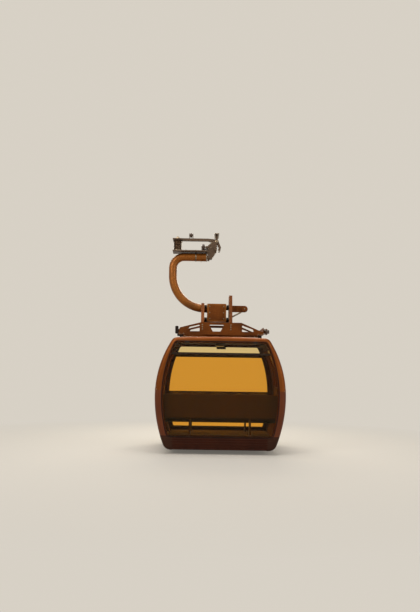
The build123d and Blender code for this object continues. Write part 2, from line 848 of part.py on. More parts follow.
seat_right = spring_x + spring_radius + side_gap
lever += slab(lever_end_x, seat_right, -base_half, base_half, lever_under, lever_under + lever_arm / 2)
fork_half = coupling_width / 2 + side_gap
for x in (coupling_x - fork_half - bracket_sheet, coupling_x + fork_half):
    lever += slab(
        x, x + bracket_sheet, -lever_thick / 2, lever_thick / 2, lever_arm_z, coupling_z + 2 * axle_radius
    )
lever += bar_x(axle_radius, coupling_x - fork_half, coupling_x + fork_half, 0, coupling_z)
lever -= bar_y(lever_pin_radius + axle_fit, lever_pivot_x, -jaw_length, jaw_length, lever_pivot_z)
save("jaw_lever", lever)


def roller(radius, width, x, y, z):
    """A rubber-tyred roller on an axle along X, with rounded edges and a bore."""
    shape = bar_x(radius, x - width / 2, x + width / 2, y, z)
    shape = fillet(shape.edges(), side_gap)
    return shape - bar_x(axle_radius + axle_fit, x - width, x + width, y, z)


save("running_roller_front", roller(running_radius, running_width, running_x, -running_y, running_z))
save("running_roller_rear", roller(running_radius, running_width, running_x, running_y, running_z))
save("coupling_roller", roller(coupling_radius, coupling_width, coupling_x, 0, coupling_z))
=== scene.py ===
import json
import math
import bpy
import numpy as np
from mathutils import Matrix, Vector


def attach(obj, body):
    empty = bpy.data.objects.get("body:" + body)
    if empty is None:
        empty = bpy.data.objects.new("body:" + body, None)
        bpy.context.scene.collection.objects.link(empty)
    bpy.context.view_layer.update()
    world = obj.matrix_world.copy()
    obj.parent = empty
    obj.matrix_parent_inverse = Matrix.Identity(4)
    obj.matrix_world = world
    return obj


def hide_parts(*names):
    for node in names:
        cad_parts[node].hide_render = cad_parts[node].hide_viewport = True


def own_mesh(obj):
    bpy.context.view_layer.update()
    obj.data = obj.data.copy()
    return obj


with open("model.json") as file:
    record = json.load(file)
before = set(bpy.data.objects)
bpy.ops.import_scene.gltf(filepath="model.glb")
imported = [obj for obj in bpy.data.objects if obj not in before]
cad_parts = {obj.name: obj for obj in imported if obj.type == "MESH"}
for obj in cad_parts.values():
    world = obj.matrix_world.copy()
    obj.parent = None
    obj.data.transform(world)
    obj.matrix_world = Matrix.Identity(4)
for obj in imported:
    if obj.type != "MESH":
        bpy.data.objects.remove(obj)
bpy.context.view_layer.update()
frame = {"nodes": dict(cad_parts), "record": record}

# What every piece shares, in metres. The origin lies in the grip's jaws, and +Y is the travel direction.
cabin = {
    "x": 0.080,              # centre plane, beside the origin
    "foot": -3.850,          # lower edge, from which heights are counted
    "end": 1.000,            # half the length
    "belt": 0.970,           # height of the widest point
    "middle": 1.0,           # height of the middle of the inside
    "half": 1.200,
    "upperRadius": 1.950,
    "lowerRadius": 2.450,
}
window = {
    "half": 1.050,
    "upperRadius": 2.270,
    "lowerRadius": 2.530,
    "foot": 0.265,
    "top": 1.965,
    "corner": 0.055,
    "steps": (61, 9),        # points up each side and round each corner
    "room": 1.25,            # a corner clears its points out to this many radii
    "overlap": 0.020,        # how far the pane runs under the frame
    "glassSet": 0.002,
    "glass": 0.008,
}
ventLevel = cabin["foot"] + 1.760     # middle of the bar between the large pane and the vent pane
ventBlur = 0.002
tiny = 1e-9


# Colour, nodes and materials
# An sRGB hex value turned to linear red, green and blue and an alpha of 1
def linearColour(hexValue):
    parts = [int(hexValue[i:i + 2], 16) / 255 for i in (1, 3, 5)]
    return [c / 12.92 if c <= 0.04045 else ((c + 0.055) / 1.055) ** 2.4 for c in parts] + [1.0]


# Adds a node and gives back one of its outputs. Keys with a small first letter are the node's properties, the
# others its sockets, which take a number, a hex colour or another node's output.
def addNode(tree, kind, settings, output=0):
    node = tree.nodes.new("ShaderNode" + kind)
    for key, value in settings.items():
        if isinstance(key, str) and key[0].islower():
            setattr(node, key, value)
        elif isinstance(value, bpy.types.NodeSocket):
            tree.links.new(value, node.inputs[key])
        else:
            node.inputs[key].default_value = linearColour(value) if isinstance(value, str) else value
    return node.outputs[output] if node.outputs else node


# What a finish has unless its own line says otherwise. Patterns are measured in millimetres, and a grain that
# is finer than 2 mm on the real thing is drawn 2 to 5 mm wide, so that it shows.
usual = {
    "metallic": 0.0, "rough": 0.5, "specular": 0.5, "sheen": 0.0, "cloudMm": 260, "edgeMm": 4, "wearMm": 30,
    "dustShare": 0.5, "roughSpread": 0.08, "grainMm": 3, "grainDepth": 0.15, "grainStrength": 0.5,
    "stretch": (1, 1, 1),
}
# Blotches: size in millimetres, the levels of noise where they begin and end, the least and most that they
# become, and the noise's detail
blotch = {
    "dust": (45, 0.35, 0.65, 0.2), "stain": (320, 0.45, 0.75), "rubbed": (120, 0.45, 0.75, 0.0, 0.6),
    "grit": (25, 0.5, 0.68, 0.0, 0.8, 6),
}
cloudLevels = (0.3, 0.7)
wearLevels = (0.42, 0.62)
dustFacing = (0.2, 0.95)     # the normal's Z where dust begins to settle and where it is full
smearMm = 90
relief = {                   # how strong and, in metres, how deep
    "zincSkin": {"Strength": 0.35, "Distance": 0.0003}, "scratches": {"Strength": 0.5, "Distance": 0.00005},
    "cloth": {"Strength": 0.6, "Distance": 0.0005}, "ribs": {"Strength": 0.7, "Distance": 0.002},
}
zincSkinMm = 14
scratchMm = 2.5
liningRough = 0.92
pairScale = 1000 / 6.3       # over a width in mm, the wave's scale at which one wave takes two such widths


# A material's one shader: the look's fixed values, and over them the ends of its patterns
def shaderOf(tree, look, ends):
    return addNode(tree, "BsdfPrincipled", {
        "Base Color": look["tone"], "Metallic": look["metallic"], "Roughness": look["rough"],
        "Specular IOR Level": look["specular"], "Sheen Weight": look["sheen"],
    } | ends)


# A material on Object coordinates; the surface function makes everything between them and the output
def makeMaterial(name, surface, look):
    material = bpy.data.materials.new(name)
    material.use_nodes = True
    tree = material.node_tree
    tree.nodes.clear()
    place = addNode(tree, "TexCoord", {}, "Object")
    addNode(tree, "OutputMaterial", {"Surface": surface(tree, place, usual | look)})
    return material


# Blotches of a real size: noise whose levels from low to high become shares from least to most
def blotches(tree, place, sizeMm, low, high, least=0.0, most=1.0, detail=4.0):
    noise = addNode(tree, "TexNoise", {"Scale": 1000 / sizeMm, "Detail": detail, "Vector": place})
    return addNode(tree, "MapRange", {
        "Value": noise, "From Min": low, "From Max": high, "To Min": least, "To Max": most,
    })


# Tones laid over one another, each by its own share
def laidOver(tree, tone, *layers):
    for share, over in layers:
        tone = addNode(tree, "Mix", {"data_type": "RGBA", 0: share, 6: tone, 7: over}, 2)
    return tone


# 1 on sharp edges and 0 on open faces, from how far a rounded normal turns away from the true one
def edgeShare(tree, radiusMm):
    soft = addNode(tree, "Bevel", {"samples": 4, "Radius": radiusMm / 1000})
    true = addNode(tree, "NewGeometry", {}, "Normal")
    same = addNode(tree, "VectorMath", {"operation": "DOT_PRODUCT", 0: soft, 1: true}, "Value")
    return addNode(tree, "MapRange", {
        "Value": same, "From Min": 0.75, "From Max": 0.98, "To Min": 1.0, "To Max": 0.0,   # 41 and 11 degrees
    })


# 1 on faces that look towards the cabin's middle: the normal times the way from the middle is negative
def innerShare(tree, place):
    middle = (cabin["x"], 0.0, cabin["foot"] + cabin["middle"])
    way = addNode(tree, "VectorMath", {"operation": "SUBTRACT", 0: place, 1: middle})
    normal = addNode(tree, "TexCoord", {}, "Normal")
    facing = addNode(tree, "VectorMath", {"operation": "DOT_PRODUCT", 0: way, 1: normal}, "Value")
    return addNode(tree, "MapRange", {
        "Value": facing, "From Min": -0.02, "From Max": 0.0, "To Min": 1.0, "To Max": 0.0,
    })


# Cloudy tone, fine grain, worn or dusty edges and uneven gloss, for paint, castings and plastics
def paintedSurface(tree, place, look):
    clouds = blotches(tree, place, look["cloudMm"], *cloudLevels)
    tone = laidOver(tree, look["tone"], (clouds, look["tone2"]))
    if "edge" in look:
        worn = addNode(tree, "Math", {
            "operation": "MULTIPLY", 0: edgeShare(tree, look["edgeMm"]),
            1: blotches(tree, place, look["wearMm"], *wearLevels),
        })
        tone = laidOver(tree, tone, (worn, look["edge"]))
    if "dust" in look:       # dust settles on what faces up
        up = addNode(tree, "SeparateXYZ", {0: addNode(tree, "NewGeometry", {}, "Normal")}, "Z")
        low, high = dustFacing
        level = addNode(tree, "MapRange", {
            "Value": up, "From Min": low, "From Max": high, "To Max": look["dustShare"],
        })
        settled = addNode(tree, "Math", {
            "operation": "MULTIPLY", 0: level, 1: blotches(tree, place, *blotch["dust"]),
        })
        tone = laidOver(tree, tone, (settled, look["dust"]))
    gloss, spread = look["rough"], look["roughSpread"]
    rough = blotches(tree, place, smearMm, *cloudLevels, gloss - spread, gloss + spread, 5)
    metallic = look["metallic"]
    if "inner" in look:      # the lining inside the cabin is dark and matt
        share = innerShare(tree, place)
        tone = laidOver(tree, tone, (share, look["inner"]))
        rough = addNode(tree, "Mix", {0: share, 2: rough, 3: liningRough})
        if metallic:
            metallic = addNode(tree, "MapRange", {"Value": share, "To Min": metallic, "To Max": 0.0})
    drawn = addNode(tree, "Mapping", {"Vector": place, "Scale": look["stretch"]})
    grain = addNode(tree, "TexNoise", {"Scale": 1000 / look["grainMm"], "Detail": 2, "Vector": drawn})
    normal = addNode(tree, "Bump", {
        "Strength": look["grainStrength"], "Distance": look["grainDepth"] / 1000, "Height": grain,
    })
    return shaderOf(tree, look, {
        "Base Color": tone, "Roughness": rough, "Metallic": metallic, "Normal": normal,
    })


# Hot-dip zinc: flat crystals of about a centimetre, each with its own grey and gloss, over a rolled skin
def galvanisedSurface(tree, place, look):
    crystals = addNode(tree, "TexVoronoi", {"Scale": 1000 / look["crystalMm"], "Vector": place}, "Color")
    flake = addNode(tree, "SeparateColor", {0: crystals})
    stain = blotches(tree, place, *blotch["stain"])
    tone = laidOver(tree, look["tone"], (flake, look["tone2"]), (stain, look["stain"]))
    rough = addNode(tree, "MapRange", {
        "Value": flake, "To Min": look["rough"] - 0.1, "To Max": look["rough"] + 0.1,
    })
    skin = addNode(tree, "TexNoise", {"Scale": 1000 / zincSkinMm, "Detail": 4, "Vector": place})
    normal = addNode(tree, "Bump", relief["zincSkin"] | {"Height": skin})
    return shaderOf(tree, look, {"Base Color": tone, "Roughness": rough, "Normal": normal})


# Long fine scratches along one axis, drawn coarser than real so that they show
def brushedSurface(tree, place, look):
    drawn = addNode(tree, "Mapping", {"Vector": place, "Scale": look["stretch"]})
    lines = addNode(tree, "TexNoise", {"Scale": 1000 / scratchMm, "Detail": 3, "Vector": drawn})
    tone = laidOver(tree, look["tone"], (lines, look["tone2"]))
    rough = addNode(tree, "MapRange", {
        "Value": lines, "To Min": look["rough"] - 0.1, "To Max": look["rough"] + 0.14,
    })
    normal = addNode(tree, "Bump", relief["scratches"] | {"Height": lines})
    return shaderOf(tree, look, {"Base Color": tone, "Roughness": rough, "Normal": normal})


# Tinted polycarbonate: polished, clear to the light of lamps, and paler above a level where a look says so
def glassSurface(tree, place, look):
    tone = look["tone"]
    if "above" in look:
        height = addNode(tree, "SeparateXYZ", {0: place}, "Z")
        share = addNode(tree, "MapRange", {
            "Value": height, "From Min": ventLevel - ventBlur, "From Max": ventLevel + ventBlur,
        })
        tone = laidOver(tree, tone, (share, look["above"]))
    shader = shaderOf(tree, look, {"Base Color": tone, "Transmission Weight": 1.0, "IOR": look["ior"]})
    clear = addNode(tree, "BsdfTransparent", {"Color": tone})
    shadow = addNode(tree, "LightPath", {}, "Is Shadow Ray")
    return addNode(tree, "MixShader", {0: shadow, 1: shader, 2: clear})


# Coated weave: two crossing waves, each a pair of threads, with a low sheen and rubbed places
def wovenSurface(tree, place, look):
    warp, weft = (addNode(tree, "TexWave", {
        "bands_direction": axis, "Scale": pairScale / look["threadMm"], "Distortion": 0.4, "Detail": 1.0,
        "Vector": place,
    }, "Fac") for axis in "XY")
    cloth = addNode(tree, "Math", {"operation": "MULTIPLY", 0: warp, 1: weft})
    rubbed = blotches(tree, place, *blotch["rubbed"])
    tone = laidOver(tree, look["tone"], (cloth, look["tone2"]), (rubbed, look["rubbed"]))
    normal = addNode(tree, "Bump", relief["cloth"] | {"Height": cloth})
    return shaderOf(tree, look, {"Base Color": tone, "Normal": normal})


# Rubber floor covering: raised ribs along the travel direction, with grit between them
def ribbedMat(tree, place, look):
    ribs = addNode(tree, "TexWave", {"Scale": pairScale / look["ribMm"], "Vector": place}, "Fac")
    low, high = cloudLevels
    raised = addNode(tree, "MapRange", {"Value": ribs, "From Min": low, "From Max": high})
    grit = blotches(tree, place, *blotch["grit"])
    tone = laidOver(tree, look["tone"], (raised, look["tone2"]), (grit, look["grit"]))
    normal = addNode(tree, "Bump", relief["ribs"] | {"Height": ribs})
    return shaderOf(tree, look, {"Base Color": tone, "Normal": normal})


finishes = {
    # moulded skin in gloss lacquer: cloudy bronze brown with soft wide highlights
    "lacqueredSkin": (paintedSurface, {
        "tone": "#542304", "tone2": "#632d09", "rough": 0.34, "specular": 0.3, "roughSpread": 0.05,
        "grainMm": 2, "grainDepth": 0.05, "cloudMm": 420, "dust": "#6b4726", "dustShare": 0.2,
        "inner": "#45240e",
    }),
    # bent and anodised aluminium profile: satin bronze, worn paler along its edges
    "anodisedProfile": (paintedSurface, {
        "tone": "#6b360c", "tone2": "#7b4213", "metallic": 0.5, "rough": 0.44, "specular": 0.2, "grainMm": 2,
        "grainDepth": 0.04, "cloudMm": 300, "edge": "#a8703a", "edgeMm": 3, "wearMm": 60, "inner": "#45240e",
    }),
    # thermoformed dark plastic: leathery grain, grey scuffs on its edges
    "texturedBumper": (paintedSurface, {
        "tone": "#2b1205", "tone2": "#371a0a", "rough": 0.58, "specular": 0.2, "grainMm": 4,
        "grainDepth": 0.5, "edge": "#5d4230", "edgeMm": 6, "dust": "#4d3119", "dustShare": 0.25,
    }),
    # extruded plastic skirt: red-brown, its ribs scuffed lighter
    "ribbedSkirt": (paintedSurface, {
        "tone": "#2d0e02", "tone2": "#3a1504", "rough": 0.48, "specular": 0.15, "grainDepth": 0.12,
        "edge": "#6a3a1c", "edgeMm": 3, "wearMm": 70, "stretch": (0.2, 1, 1),
    }),
    # hot-dip galvanised tube: zinc crystals under a warm film
    "galvanisedTube": (galvanisedSurface, {
        "tone": "#95581a", "tone2": "#7d4911", "stain": "#62390d", "specular": 0.35, "metallic": 0.45,
        "rough": 0.42, "crystalMm": 16,
    }),
    # galvanised plate: duller and darker with dust
    "galvanisedPlate": (galvanisedSurface, {
        "tone": "#7a420e", "tone2": "#643409", "stain": "#4c2606", "specular": 0.2, "metallic": 0.3,
        "rough": 0.58, "crystalMm": 12,
    }),
    # cast steel in thick grey-brown paint: sandy skin, chipped to metal on its edges
    "paintedCasting": (paintedSurface, {
        "tone": "#55402d", "tone2": "#48341f", "grainMm": 5, "grainDepth": 0.5, "grainStrength": 0.7,
        "edge": "#a0917e", "wearMm": 22, "dust": "#7a6651",
    }),
    # turned steel: bright, with fine rings of the tool
    "turnedSteel": (brushedSurface, {
        "tone": "#978a77", "tone2": "#7d6f5c", "metallic": 1.0, "rough": 0.34, "stretch": (9, 1, 1),
    }),
    # oiled spring steel: near black with a wet gloss
    "oiledSpring": (brushedSurface, {
        "tone": "#3a2a1c", "tone2": "#5a4430", "metallic": 0.8, "rough": 0.3, "stretch": (1, 1, 4),
    }),
    # moulded rubber: matt black, chalky where it weathers
    "mouldedRubber": (paintedSurface, {
        "tone": "#150b05", "tone2": "#1e1108", "rough": 0.68, "specular": 0.2, "grainDepth": 0.2,
        "dust": "#302012",
    }),
    # cast polyurethane roller tyre: dark amber brown, polished by rolling
    "rollerTyre": (paintedSurface, {
        "tone": "#33231a", "tone2": "#43301f", "rough": 0.38, "grainMm": 6, "grainDepth": 0.1,
    }),
    # dark anodised aluminium: near black with a satin sheen
    "darkAnodised": (paintedSurface, {
        "tone": "#1c0f07", "tone2": "#26160c", "metallic": 0.4, "rough": 0.4, "grainMm": 2,
        "grainDepth": 0.03,
    }),
    # powder coat on bent sheet: fine orange peel, rubbed through along its edges
    "powderCoat": (paintedSurface, {
        "tone": "#1c0d05", "tone2": "#251207", "specular": 0.3, "grainMm": 2.5, "grainDepth": 0.12,
        "edge": "#5f452f", "edgeMm": 2,
    }),
    # fired ceramic border on the inside of the pane: deep black-brown gloss
    "firedFrit": (paintedSurface, {
        "tone": "#241207", "tone2": "#2b160a", "rough": 0.3, "specular": 0.3, "grainMm": 8,
        "grainDepth": 0.01,
    }),
    # moulded opal acrylic: milky, softly glossy
    "opalCover": (paintedSurface, {
        "tone": "#b9a88d", "tone2": "#c6b599", "rough": 0.35, "grainMm": 2, "grainDepth": 0.04,
    }),
    # moulded ABS: dark brown with a fine even grain
    "mouldedPlastic": (paintedSurface, {
        "tone": "#231811", "tone2": "#2c1f17", "grainMm": 1.5, "grainDepth": 0.08,
    }),
    # moulded polycarbonate pane: amber through its whole thickness; its index is below the usual 1.58, so
    # that the pale surroundings mirror in it less and the benches show through
    "tintedPane": (glassSurface, {"tone": "#f8d27e", "ior": 1.2, "rough": 0.0}),
    # the same in the end windows, with a paler sheet above the vent bar
    "ventedPane": (glassSurface, {"tone": "#f8d27e", "above": "#faecc6", "ior": 1.2, "rough": 0.0}),
    # coated weave: dark brown, rubbed paler where it carries weight; its threads are drawn about 5 mm wide,
    # coarser than real, so that they show
    "coatedWeave": (wovenSurface, {
        "tone": "#20120a", "tone2": "#382214", "rubbed": "#4a3220", "rough": 0.62, "sheen": 0.25,
        "threadMm": 5,
    }),
    # ribbed rubber floor covering: near black with trodden-in grit
    "ribbedRubber": (ribbedMat, {
        "tone": "#170e08", "tone2": "#24170d", "grit": "#332315", "rough": 0.8, "specular": 0.15, "ribMm": 22,
    }),
}
finish = {name: makeMaterial(name, surface, look) for name, (surface, look) in finishes.items()}
print("materials made:", len(finish))

# Which finish each of the record's slots gets on the carried-over nodes
slotFinish = {
    "grip_paint": "paintedCasting", "steel": "turnedSteel", "spring_steel": "oiledSpring",
    "roller": "rollerTyre", "hanger_zinc": "galvanisedTube", "frame_zinc": "galvanisedPlate",
    "rubber": "mouldedRubber", "shell_paint": "lacqueredSkin", "trim": "anodisedProfile",
    "bumper": "texturedBumper", "skirt": "ribbedSkirt", "glass": "tintedPane", "vent_metal": "darkAnodised",
    "floor": "ribbedRubber", "bench": "powderCoat", "pads": "coatedWeave", "lamp": "mouldedPlastic",
}
# The record's slot that goes with each finish; finishes that no CAD node has go with a near one
pieceSlot = {material: slot for slot, material in slotFinish.items()}
pieceSlot |= {"firedFrit": "rubber", "opalCover": "lamp"}
for part in frame["record"]["subparts"]:
    node = frame["nodes"][part["node"]]
    surface = "ventedPane" if part["node"].startswith("end_glass") else slotFinish[part["material_slot"]]
    if not node.material_slots:
        node.data.materials.append(None)
    for place in node.material_slots:
        place.material = finish[surface]
print("CAD nodes dressed:", len(frame["nodes"]))


# Mesh building, from whole numpy arrays; a shape is a pair of points and faces
# One mesh object from a list of shapes, smooth except across edges sharper than 40 degrees
def meshPiece(name, shapes, material, body=None):
    first = np.cumsum([0] + [len(points) for points, faces in shapes])
    points = np.concatenate([points for points, faces in shapes])
    faces = np.concatenate([faces + start for (points, faces), start in zip(shapes, first)]).astype(np.int32)
    mesh = bpy.data.meshes.new(name)
    mesh.vertices.add(len(points))
    mesh.vertices.foreach_set("co", points.ravel())
    corners = faces.shape[1]
    mesh.loops.add(faces.size)
    mesh.loops.foreach_set("vertex_index", faces.ravel())
    mesh.polygons.add(len(faces))
    mesh.polygons.foreach_set("loop_start", np.arange(len(faces)) * corners)
    mesh.polygons.foreach_set("loop_total", np.full(len(faces), corners))
    mesh.update(calc_edges=True)
    mesh.validate()
    piece = bpy.data.objects.new(name, mesh)
    bpy.context.scene.collection.objects.link(piece)
    mesh.materials.append(finish[material])
    mesh.shade_smooth()
    mesh.set_sharp_from_angle(angle=math.radians(40))
    if body:
        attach(piece, body)
    return piece


# Quads of a grid of rows by columns, wrapped in either direction
def gridFaces(rows, columns, wrapRows=False, wrapColumns=False):
    r = np.arange(rows if wrapRows else rows - 1)[:, None]
    c = np.arange(columns if wrapColumns else columns - 1)[None, :]
    r2, c2 = (r + 1) % rows, (c + 1) % columns
    corners = [r * columns + c, r * columns + c2, r2 * columns + c2, r2 * columns + c]
    return np.stack([k + 0 * r + 0 * c for k in corners], -1).reshape(-1, 4)


# A shape from a grid of points, rows by columns by three
def gridShape(points, wrapRows=False, wrapColumns=True):
    return points.reshape(-1, 3), gridFaces(*points.shape[:2], wrapRows, wrapColumns)


# The same shape with its faces turned the other way: each face's corners in reverse
def turnedOver(shape):
    return shape[0], shape[1][:, ::-1]


# A point of the cabin in the shared frame, and one with its X and Y already in it, at a height over the foot
def atCabin(x, y, height):
    return (x + cabin["x"], y, height + cabin["foot"])


def overFoot(x, y, height):
    return (x, y, height + cabin["foot"])


# Half width of the cabin at heights: centre of the arc plus the root of its radius squared less the height
# from the belt squared, with the larger arc below the belt
def sideX(height, inset=0.0, half=cabin["half"], upper=cabin["upperRadius"], lower=cabin["lowerRadius"]):
    height = np.asarray(height, float)
    radius = np.where(height > cabin["belt"], upper, lower)
    return half - radius + np.sqrt((radius - inset) ** 2 - (height - cabin["belt"]) ** 2)


# The same for the end window, grown by a distance
def windowX(height, grow=0.0):
    return sideX(height, 0, window["half"] + grow, window["upperRadius"] + grow, window["lowerRadius"] + grow)


# Fillets on a closed outline, given as a radius for each corner's number: the corner gives way to points on
# the arc that touches both sides, found from the half angle between them, and points nearer than the radius
# times room are dropped first
def roundCorners(outline, radii, steps, room=0.0):
    keep = np.ones(len(outline), bool)
    for corner, radius in radii.items():
        keep &= np.linalg.norm(outline - outline[corner], axis=1) >= radius * room
    keep[list(radii)] = True
    place = np.cumsum(keep) - 1
    outline = outline[keep]
    stretches, last = [], 0
    for corner, radius in sorted(radii.items()):
        i = place[corner]
        p = outline[i]
        a, b = outline[i - 1] - p, outline[(i + 1) % len(outline)] - p
        a, b = a / np.linalg.norm(a), b / np.linalg.norm(b)
        half = math.acos(float(np.clip(a @ b, -1, 1))) / 2
        centre = p + (a + b) / np.linalg.norm(a + b) * radius / math.sin(half)
        start, end = (p + way * radius / math.tan(half) - centre for way in (a, b))
        turn = math.pi - 2 * half
        share = np.linspace(0, 1, steps)[:, None]
        arc = centre + (np.sin((1 - share) * turn) * start + np.sin(share * turn) * end) / math.sin(turn)
        stretches += [outline[last:i], arc]
        last = i + 1
    return np.concatenate(stretches + [outline[last:]])


# An outline that is the same on both sides: up the right one and down the left one, with its four corners
def mirrored(x, heights):
    right = np.stack([x, heights], -1)
    outline = np.concatenate([right, right[::-1] * (-1, 1)])
    count = len(heights)
    return outline, (0, 2 * count - 1), (count - 1, count)


# The end window's outline grown by a distance, in the cabin's X and height
def windowOutline(grow):
    steps, cornerSteps = window["steps"]
    heights = np.linspace(window["foot"] - grow, window["top"] + grow, steps)
    outline, lower, upper = mirrored(windowX(heights, grow), heights)
    radii = dict.fromkeys(lower + upper, window["corner"] + grow)
    return roundCorners(outline, radii, cornerSteps, window["room"])


# An outline of the cabin's X and height stood up at a Y
def standing(outline, y):
    return np.stack([outline[:, 0] + cabin["x"], np.full(len(outline), y), outline[:, 1] + cabin["foot"]], -1)


# Unit tangents of a path, for a closed one taken across its seam
def tangents(path, closed):
    step = (np.roll(path, -1, 0) - np.roll(path, 1, 0)) if closed else np.gradient(path, axis=0)
    return step / np.linalg.norm(step, axis=1, keepdims=True)


# A profile carried along a path: point = path + u * side + v * lift
def sweepGrid(path, side, lift, profile):
    return path[:, None] + profile[None, :, :1] * side[:, None] + profile[None, :, 1:] * lift[:, None]


# A bar swept along a path, each end closed by points at the profile's middle
def closedSweep(path, side, lift, profile):
    points = sweepGrid(path, side, lift, profile)
    ends = points[[0, -1]].mean(1, keepdims=True).repeat(len(profile), 1)
    return gridShape(np.concatenate([ends[:1], points, ends[1:]]))


# A bar's cross-section: a rectangle with cut corners
def barProfile(width, height, cut):
    w, h = width / 2, height / 2
    u = (cut - w, w - cut, w, w, w - cut, cut - w, -w, -w)
    v = (-h, -h, cut - h, h - cut, h, h, h - cut, cut - h)
    return np.stack([u, v], -1)


# A straight bar between two points
def straightBar(start, stop, width, thick, cut=0.2, up=(0, 0, 1)):
    path = np.linspace(start, stop, 3)
    along = tangents(path, False)
    side = np.cross(along, up)
    side /= np.linalg.norm(side, axis=1, keepdims=True)
    return closedSweep(path, side, np.cross(side, along), barProfile(width, thick, min(width, thick) * cut))


# A straight bar across the cabin that reaches as far to both sides of an X
def acrossBar(x, reach, y, height, width, thick, cut=0.2):
    return straightBar(atCabin(x - reach, y, height), atCabin(x + reach, y, height), width, thick, cut)


# The same along the cabin between two Ys
def alongBar(x, low, high, height, width, thick, cut=0.2):
    return straightBar(atCabin(x, low, height), atCabin(x, high, height), width, thick, cut)


# A circle of radius 1 about an axis: cos a * first + sin a * second
def ringRound(axis, count):
    axis = Vector(axis).normalized()
    first = axis.orthogonal().normalized()
    turn = np.linspace(0, 2 * np.pi, count, endpoint=False)[:, None]
    return np.cos(turn) * np.array(first) + np.sin(turn) * np.array(axis.cross(first))


# A turned body from (radius, place) pairs, closed by ends of no radius or, as a ring, by its own start:
# point = centre + radius * circle + place * axis
def turned(profile, centre, axis, count=40, ring=False):
    profile = np.asarray(profile, float)
    rise = profile[:, 1:, None] * np.array(Vector(axis).normalized())
    return gridShape(np.array(centre) + profile[:, :1, None] * ringRound(axis, count) + rise, ring)


# A tube along a path: a circle carried on frames that turn without twist, closed by ends of no radius
def tube(path, radius, count=10, closed=False, ripple=1.0):
    path = np.asarray(path, float)
    along = tangents(path, closed)
    lift = np.zeros_like(along)
    guess = np.array((0, 0, 1.0) if abs(along[0][2]) < 0.9 else (1.0, 0, 0))
    for i, t in enumerate(along):    # each frame is the last one brought square to the new tangent
        guess = guess - t * (guess @ t)
        guess /= np.linalg.norm(guess)
        lift[i] = guess
    turn = np.linspace(0, 2 * np.pi, count, endpoint=False)[None, :, None]
    ring = np.cos(turn) * np.cross(along, lift)[:, None] + np.sin(turn) * lift[:, None]
    points = path[:, None] + (radius * ripple * np.ones(len(path)))[:, None, None] * ring
    if not closed:
        points = np.concatenate([path[None, :1].repeat(count, 1), points, path[None, -1:].repeat(count, 1)])
    return gridShape(points, closed)


bead = {"swell": 0.22, "perPitch": 4, "least": 24}       # share of the radius, and how many points along it


# A weld bead: a tube that swells and thins at every pitch, as a row of solidified pools does, by the size of
# a sine of the length along it
def weldBead(path, radius, pitch, closed=False):
    path = np.concatenate([path, path[:1]]) if closed else np.asarray(path, float)
    reach = np.concatenate([[0], np.cumsum(np.linalg.norm(np.diff(path, axis=0), axis=1))])
    steps = max(bead["least"], int(reach[-1] / pitch * bead["perPitch"]))
    share = np.linspace(0, reach[-1], steps, endpoint=not closed)
    dense = np.stack([np.interp(share, reach, path[:, k]) for k in range(3)], -1)
    return tube(dense, radius, 8, closed, 1 + bead["swell"] * np.abs(np.sin(np.pi * share / pitch)))


# Hexagon bolts, each a washer, a head and a shank: the number of flats or sides, and the turned steps in
# shares of the head's radius
boltSteps = (
    (20, [(0, 0), (1.05, 0), (1.1, 0.05), (1.1, 0.17), (0.9, 0.22)]),
    (6, [(0.86, 0.17), (1, 0.2), (1, 0.72), (0.84, 0.85), (0, 0.85)]),
    (12, [(0.5, 0.8), (0.5, 1.15), (0.4, 1.25), (0, 1.25)]),
)


# One piece of bolts that are turned at each place about its axis, their steps times the head's radius
def boltSet(name, places, size, body, material="turnedSteel"):
    shapes = [turned(np.array(steps) * size, place, axis, count)
              for place, axis in places for count, steps in boltSteps]
    meshPiece(name, shapes, material, body)


# The cabin's whole outline with its rounded roof and foot corners
shell = {
    "roofEdge": 2.058, "roofCorner": 0.130, "footCorner": 0.150, "endRound": 0.070, "steps": (81, 12, 10),
    "room": 1.2,
}
heights = np.linspace(0, shell["roofEdge"], shell["steps"][0])
shellRing, lower, upper = mirrored(sideX(heights), heights)
radii = dict.fromkeys(lower, shell["footCorner"]) | dict.fromkeys(upper, shell["roofCorner"])
shellRing = roundCorners(shellRing, radii, shell["steps"][1], shell["room"])
rightSide = shellRing[shellRing[:, 0] > 0]
rightSide = rightSide[np.argsort(rightSide[:, 1])]


# A level line round one end of the cabin: along the side from startY, round the edge by a quarter circle and
# in to stopX on the end face; side is +1 at the right and end +1 at the rear
def levelLine(height, side, end, startY, stopX, proud=0.0):
    x = np.interp(height, rightSide[:, 1], rightSide[:, 0]) + proud
    y, r = cabin["end"] + proud, shell["endRound"] + proud
    turn = np.linspace(0, np.pi / 2, shell["steps"][2])
    across = np.concatenate([[x], x - r + r * np.cos(turn), [stopX]])
    along = np.concatenate([[startY], y - r + r * np.sin(turn), [y]])
    level = np.full(len(across), height + cabin["foot"])
    return np.stack([across * side + cabin["x"], along * end, level], -1)


# An upright flat bar along a level line
def trimBar(line, width, thick):
    up = np.tile((0.0, 0.0, 1.0), (len(line), 1))
    out = np.cross(tangents(line, False), up)
    return closedSweep(line, out, up, barProfile(thick, width, min(thick, width) * 0.25))


